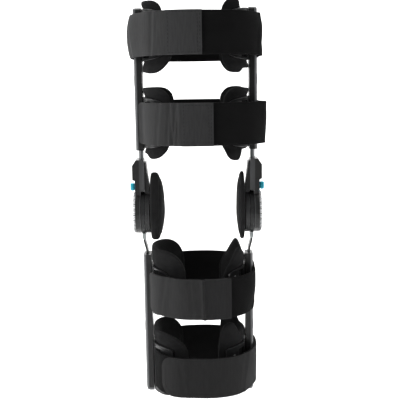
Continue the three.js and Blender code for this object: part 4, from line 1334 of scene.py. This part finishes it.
class BRACE_OT_fronts(bpy.types.Operator):
    """Lay the brushed layers on the bands"""

    bl_idname = "brace.fronts"
    bl_label = "Brushed layers"

    def execute(self, context):
        settings = context.scene.knee_brace
        sizes = settings.straps
        inside = sizes.band + SEAT_GAP
        for strap, row in zip(STRAPS, FRONTS):
            # Painted light and shade: this strap's copy of the brushed cloth is painted lighter or darker by
            # its share
            colour = tinted(settings.colours.brushed, row["nap"])[:3]
            cloth = brushed_cloth(f"brushed_cloth_{strap['name']}", colour, 0.5, 0.06)
            end = front_angle(strap, row["tab_end"] * strap["leg"]["half_width"] - TAB_OVERHANG, inside)
            corner = row["corner"] * STRAP_WIDTH
            angles = close_angles(row["start"], end, 1.2, corner, strap)
            layer = make_strip(
                f"{strap['name']}_brushed", strap, angles, inside, sizes.front, cloth,
                flare=row["flare"] * BAND_THICKNESS, corner=corner, rows=FRONT_ROWS,
            )
            self.place(layer, strap, "front")
        strap = STRAPS[-1]
        start = front_angle(strap, LOOSE_END_X, inside)
        angles = close_angles(start, 360 + LOOSE_END_START, 1.6, LOOSE_CORNER, strap)
        # Painted shade: the brushed cloth of strap 4's loose end is painted darker
        layer = make_strip(
            "strap_4_brushed", strap, angles, inside, sizes.front,
            brushed_cloth("brushed_cloth_strap_4", tinted(settings.colours.brushed, 0.56)[:3], 0.5, 0.04),
            corner=LOOSE_CORNER, rows=FRONT_ROWS,
        )
        self.place(layer, strap, "outer")
        return {"FINISHED"}

    def place(self, layer, strap, node):
        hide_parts(f"{strap['name']}_{node}")
        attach(layer, "thigh_frame" if strap["z"] > 0 else "calf_frame")


class BRACE_OT_tabs(bpy.types.Operator):
    """Make the hook tabs"""

    bl_idname = "brace.tabs"
    bl_label = "Hook tabs"

    def execute(self, context):
        settings = context.scene.knee_brace
        sizes = settings.straps
        inside = sizes.band + sizes.front + 2 * SEAT_GAP
        for strap, row in zip(STRAPS, FRONTS):
            # Painted light and shade: this strap's copy of the tab cloth is painted lighter or darker by its
            # share
            cloth = brushed_cloth(
                f"tab_cloth_{strap['name']}", tinted(settings.colours.tab, row["hook"])[:3], 0.3, 0.03
            )
            half = strap["leg"]["half_width"]
            ends = [front_angle(strap, row[key] * half, inside) for key in ("tab_start", "tab_end")]
            tab = make_strip(
                f"{strap['name']}_hook_tab", strap, close_angles(*ends, 1.0), inside, sizes.tab, cloth,
                rows=FRONT_ROWS,
            )
            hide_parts(f"{strap['name']}_tab")
            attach(tab, "thigh_frame" if strap["z"] > 0 else "calf_frame")
        return {"FINISHED"}


class BRACE_OT_stitching(bpy.types.Operator):
    """Sew the tabs and the end of strap 4's loose brushed layer"""

    bl_idname = "brace.stitching"
    bl_label = "Stitching"

    def execute(self, context):
        settings = context.scene.knee_brace
        sizes = settings.straps
        thread = moulded_plastic("black_thread", (0.018, 0.018, 0.0185), 0.8, edge_highlight=1.0, shine=0.05)
        inside = sizes.band + sizes.front + 2 * SEAT_GAP
        for strap, row in zip(STRAPS, FRONTS):
            top = inside + sizes.tab
            first, last = [row[key] * strap["leg"]["half_width"] for key in ("tab_start", "tab_end")]
            start = front_angle(strap, first + SEAM_INSET, top)
            end = front_angle(strap, last - SEAM_INSET, top)
            second = front_angle(strap, last - SECOND_SEAM, top)
            low, high = -STITCH_EDGE, STITCH_EDGE
            outline = [(start, low), (end, low), (end, high), (start, high), (start, low)]
            parts = stitch_line(strap, outline, top)
            parts += stitch_line(strap, [(second, -0.86), (second, 0.86)], top)
            seam = join_parts(f"{strap['name']}_stitching", parts, thread)
            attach(seam, "thigh_frame" if strap["z"] > 0 else "calf_frame")
        strap = STRAPS[-1]
        top = sizes.band + SEAT_GAP + sizes.front
        start = front_angle(strap, LOOSE_END_X + 0.004, top)
        turned = front_angle(strap, LOOSE_END_X + 0.017, top)
        outline = [(355, 0.9), (turned, 0.9), (start, 0.5), (start, -0.5), (turned, -0.9), (355, -0.9)]
        seam = join_parts("strap_4_stitching", stitch_line(strap, outline, top), thread)
        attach(seam, "calf_frame")
        return {"FINISHED"}


class BRACE_PT_panel(bpy.types.Panel):
    """Sizes, colours and steps of the knee brace"""

    bl_idname = "BRACE_PT_panel"
    bl_label = "Hinged knee brace"
    bl_space_type = "VIEW_3D"
    bl_region_type = "UI"
    bl_category = "Knee brace"

    def draw(self, context):
        settings = context.scene.knee_brace
        for group in (settings.straps, settings.pads, settings.colours, settings.stage):
            box = self.layout.box()
            for key in group.bl_rna.properties.keys():
                if key not in ("rna_type", "name"):
                    box.prop(group, key)
        for step in STEPS:
            self.layout.operator(step.bl_idname)


STEPS = (
    BRACE_OT_stage,
    BRACE_OT_uprights,
    BRACE_OT_hinges,
    BRACE_OT_dial_marks,
    BRACE_OT_locks,
    BRACE_OT_cuffs,
    BRACE_OT_pads,
    BRACE_OT_knee_pads,
    BRACE_OT_bands,
    BRACE_OT_fronts,
    BRACE_OT_tabs,
    BRACE_OT_stitching,
)
CLASSES = (BraceStrapSizes, BracePadSizes, BraceColours, BraceStage, BraceSettings, *STEPS, BRACE_PT_panel)


def register():
    for cls in CLASSES:
        bpy.utils.register_class(cls)
    bpy.types.Scene.knee_brace = PointerProperty(type=BraceSettings)


def unregister():
    del bpy.types.Scene.knee_brace
    for cls in reversed(CLASSES):
        bpy.utils.unregister_class(cls)


def main():
    register()
    bpy.ops.brace.stage()
    bpy.ops.brace.uprights()
    bpy.ops.brace.hinges()
    bpy.ops.brace.dial_marks()
    bpy.ops.brace.locks()
    bpy.ops.brace.cuffs()
    bpy.ops.brace.pads()
    bpy.ops.brace.knee_pads()
    bpy.ops.brace.bands()
    bpy.ops.brace.fronts()
    bpy.ops.brace.tabs()
    bpy.ops.brace.stitching()


if __name__ == "__main__":
    main()
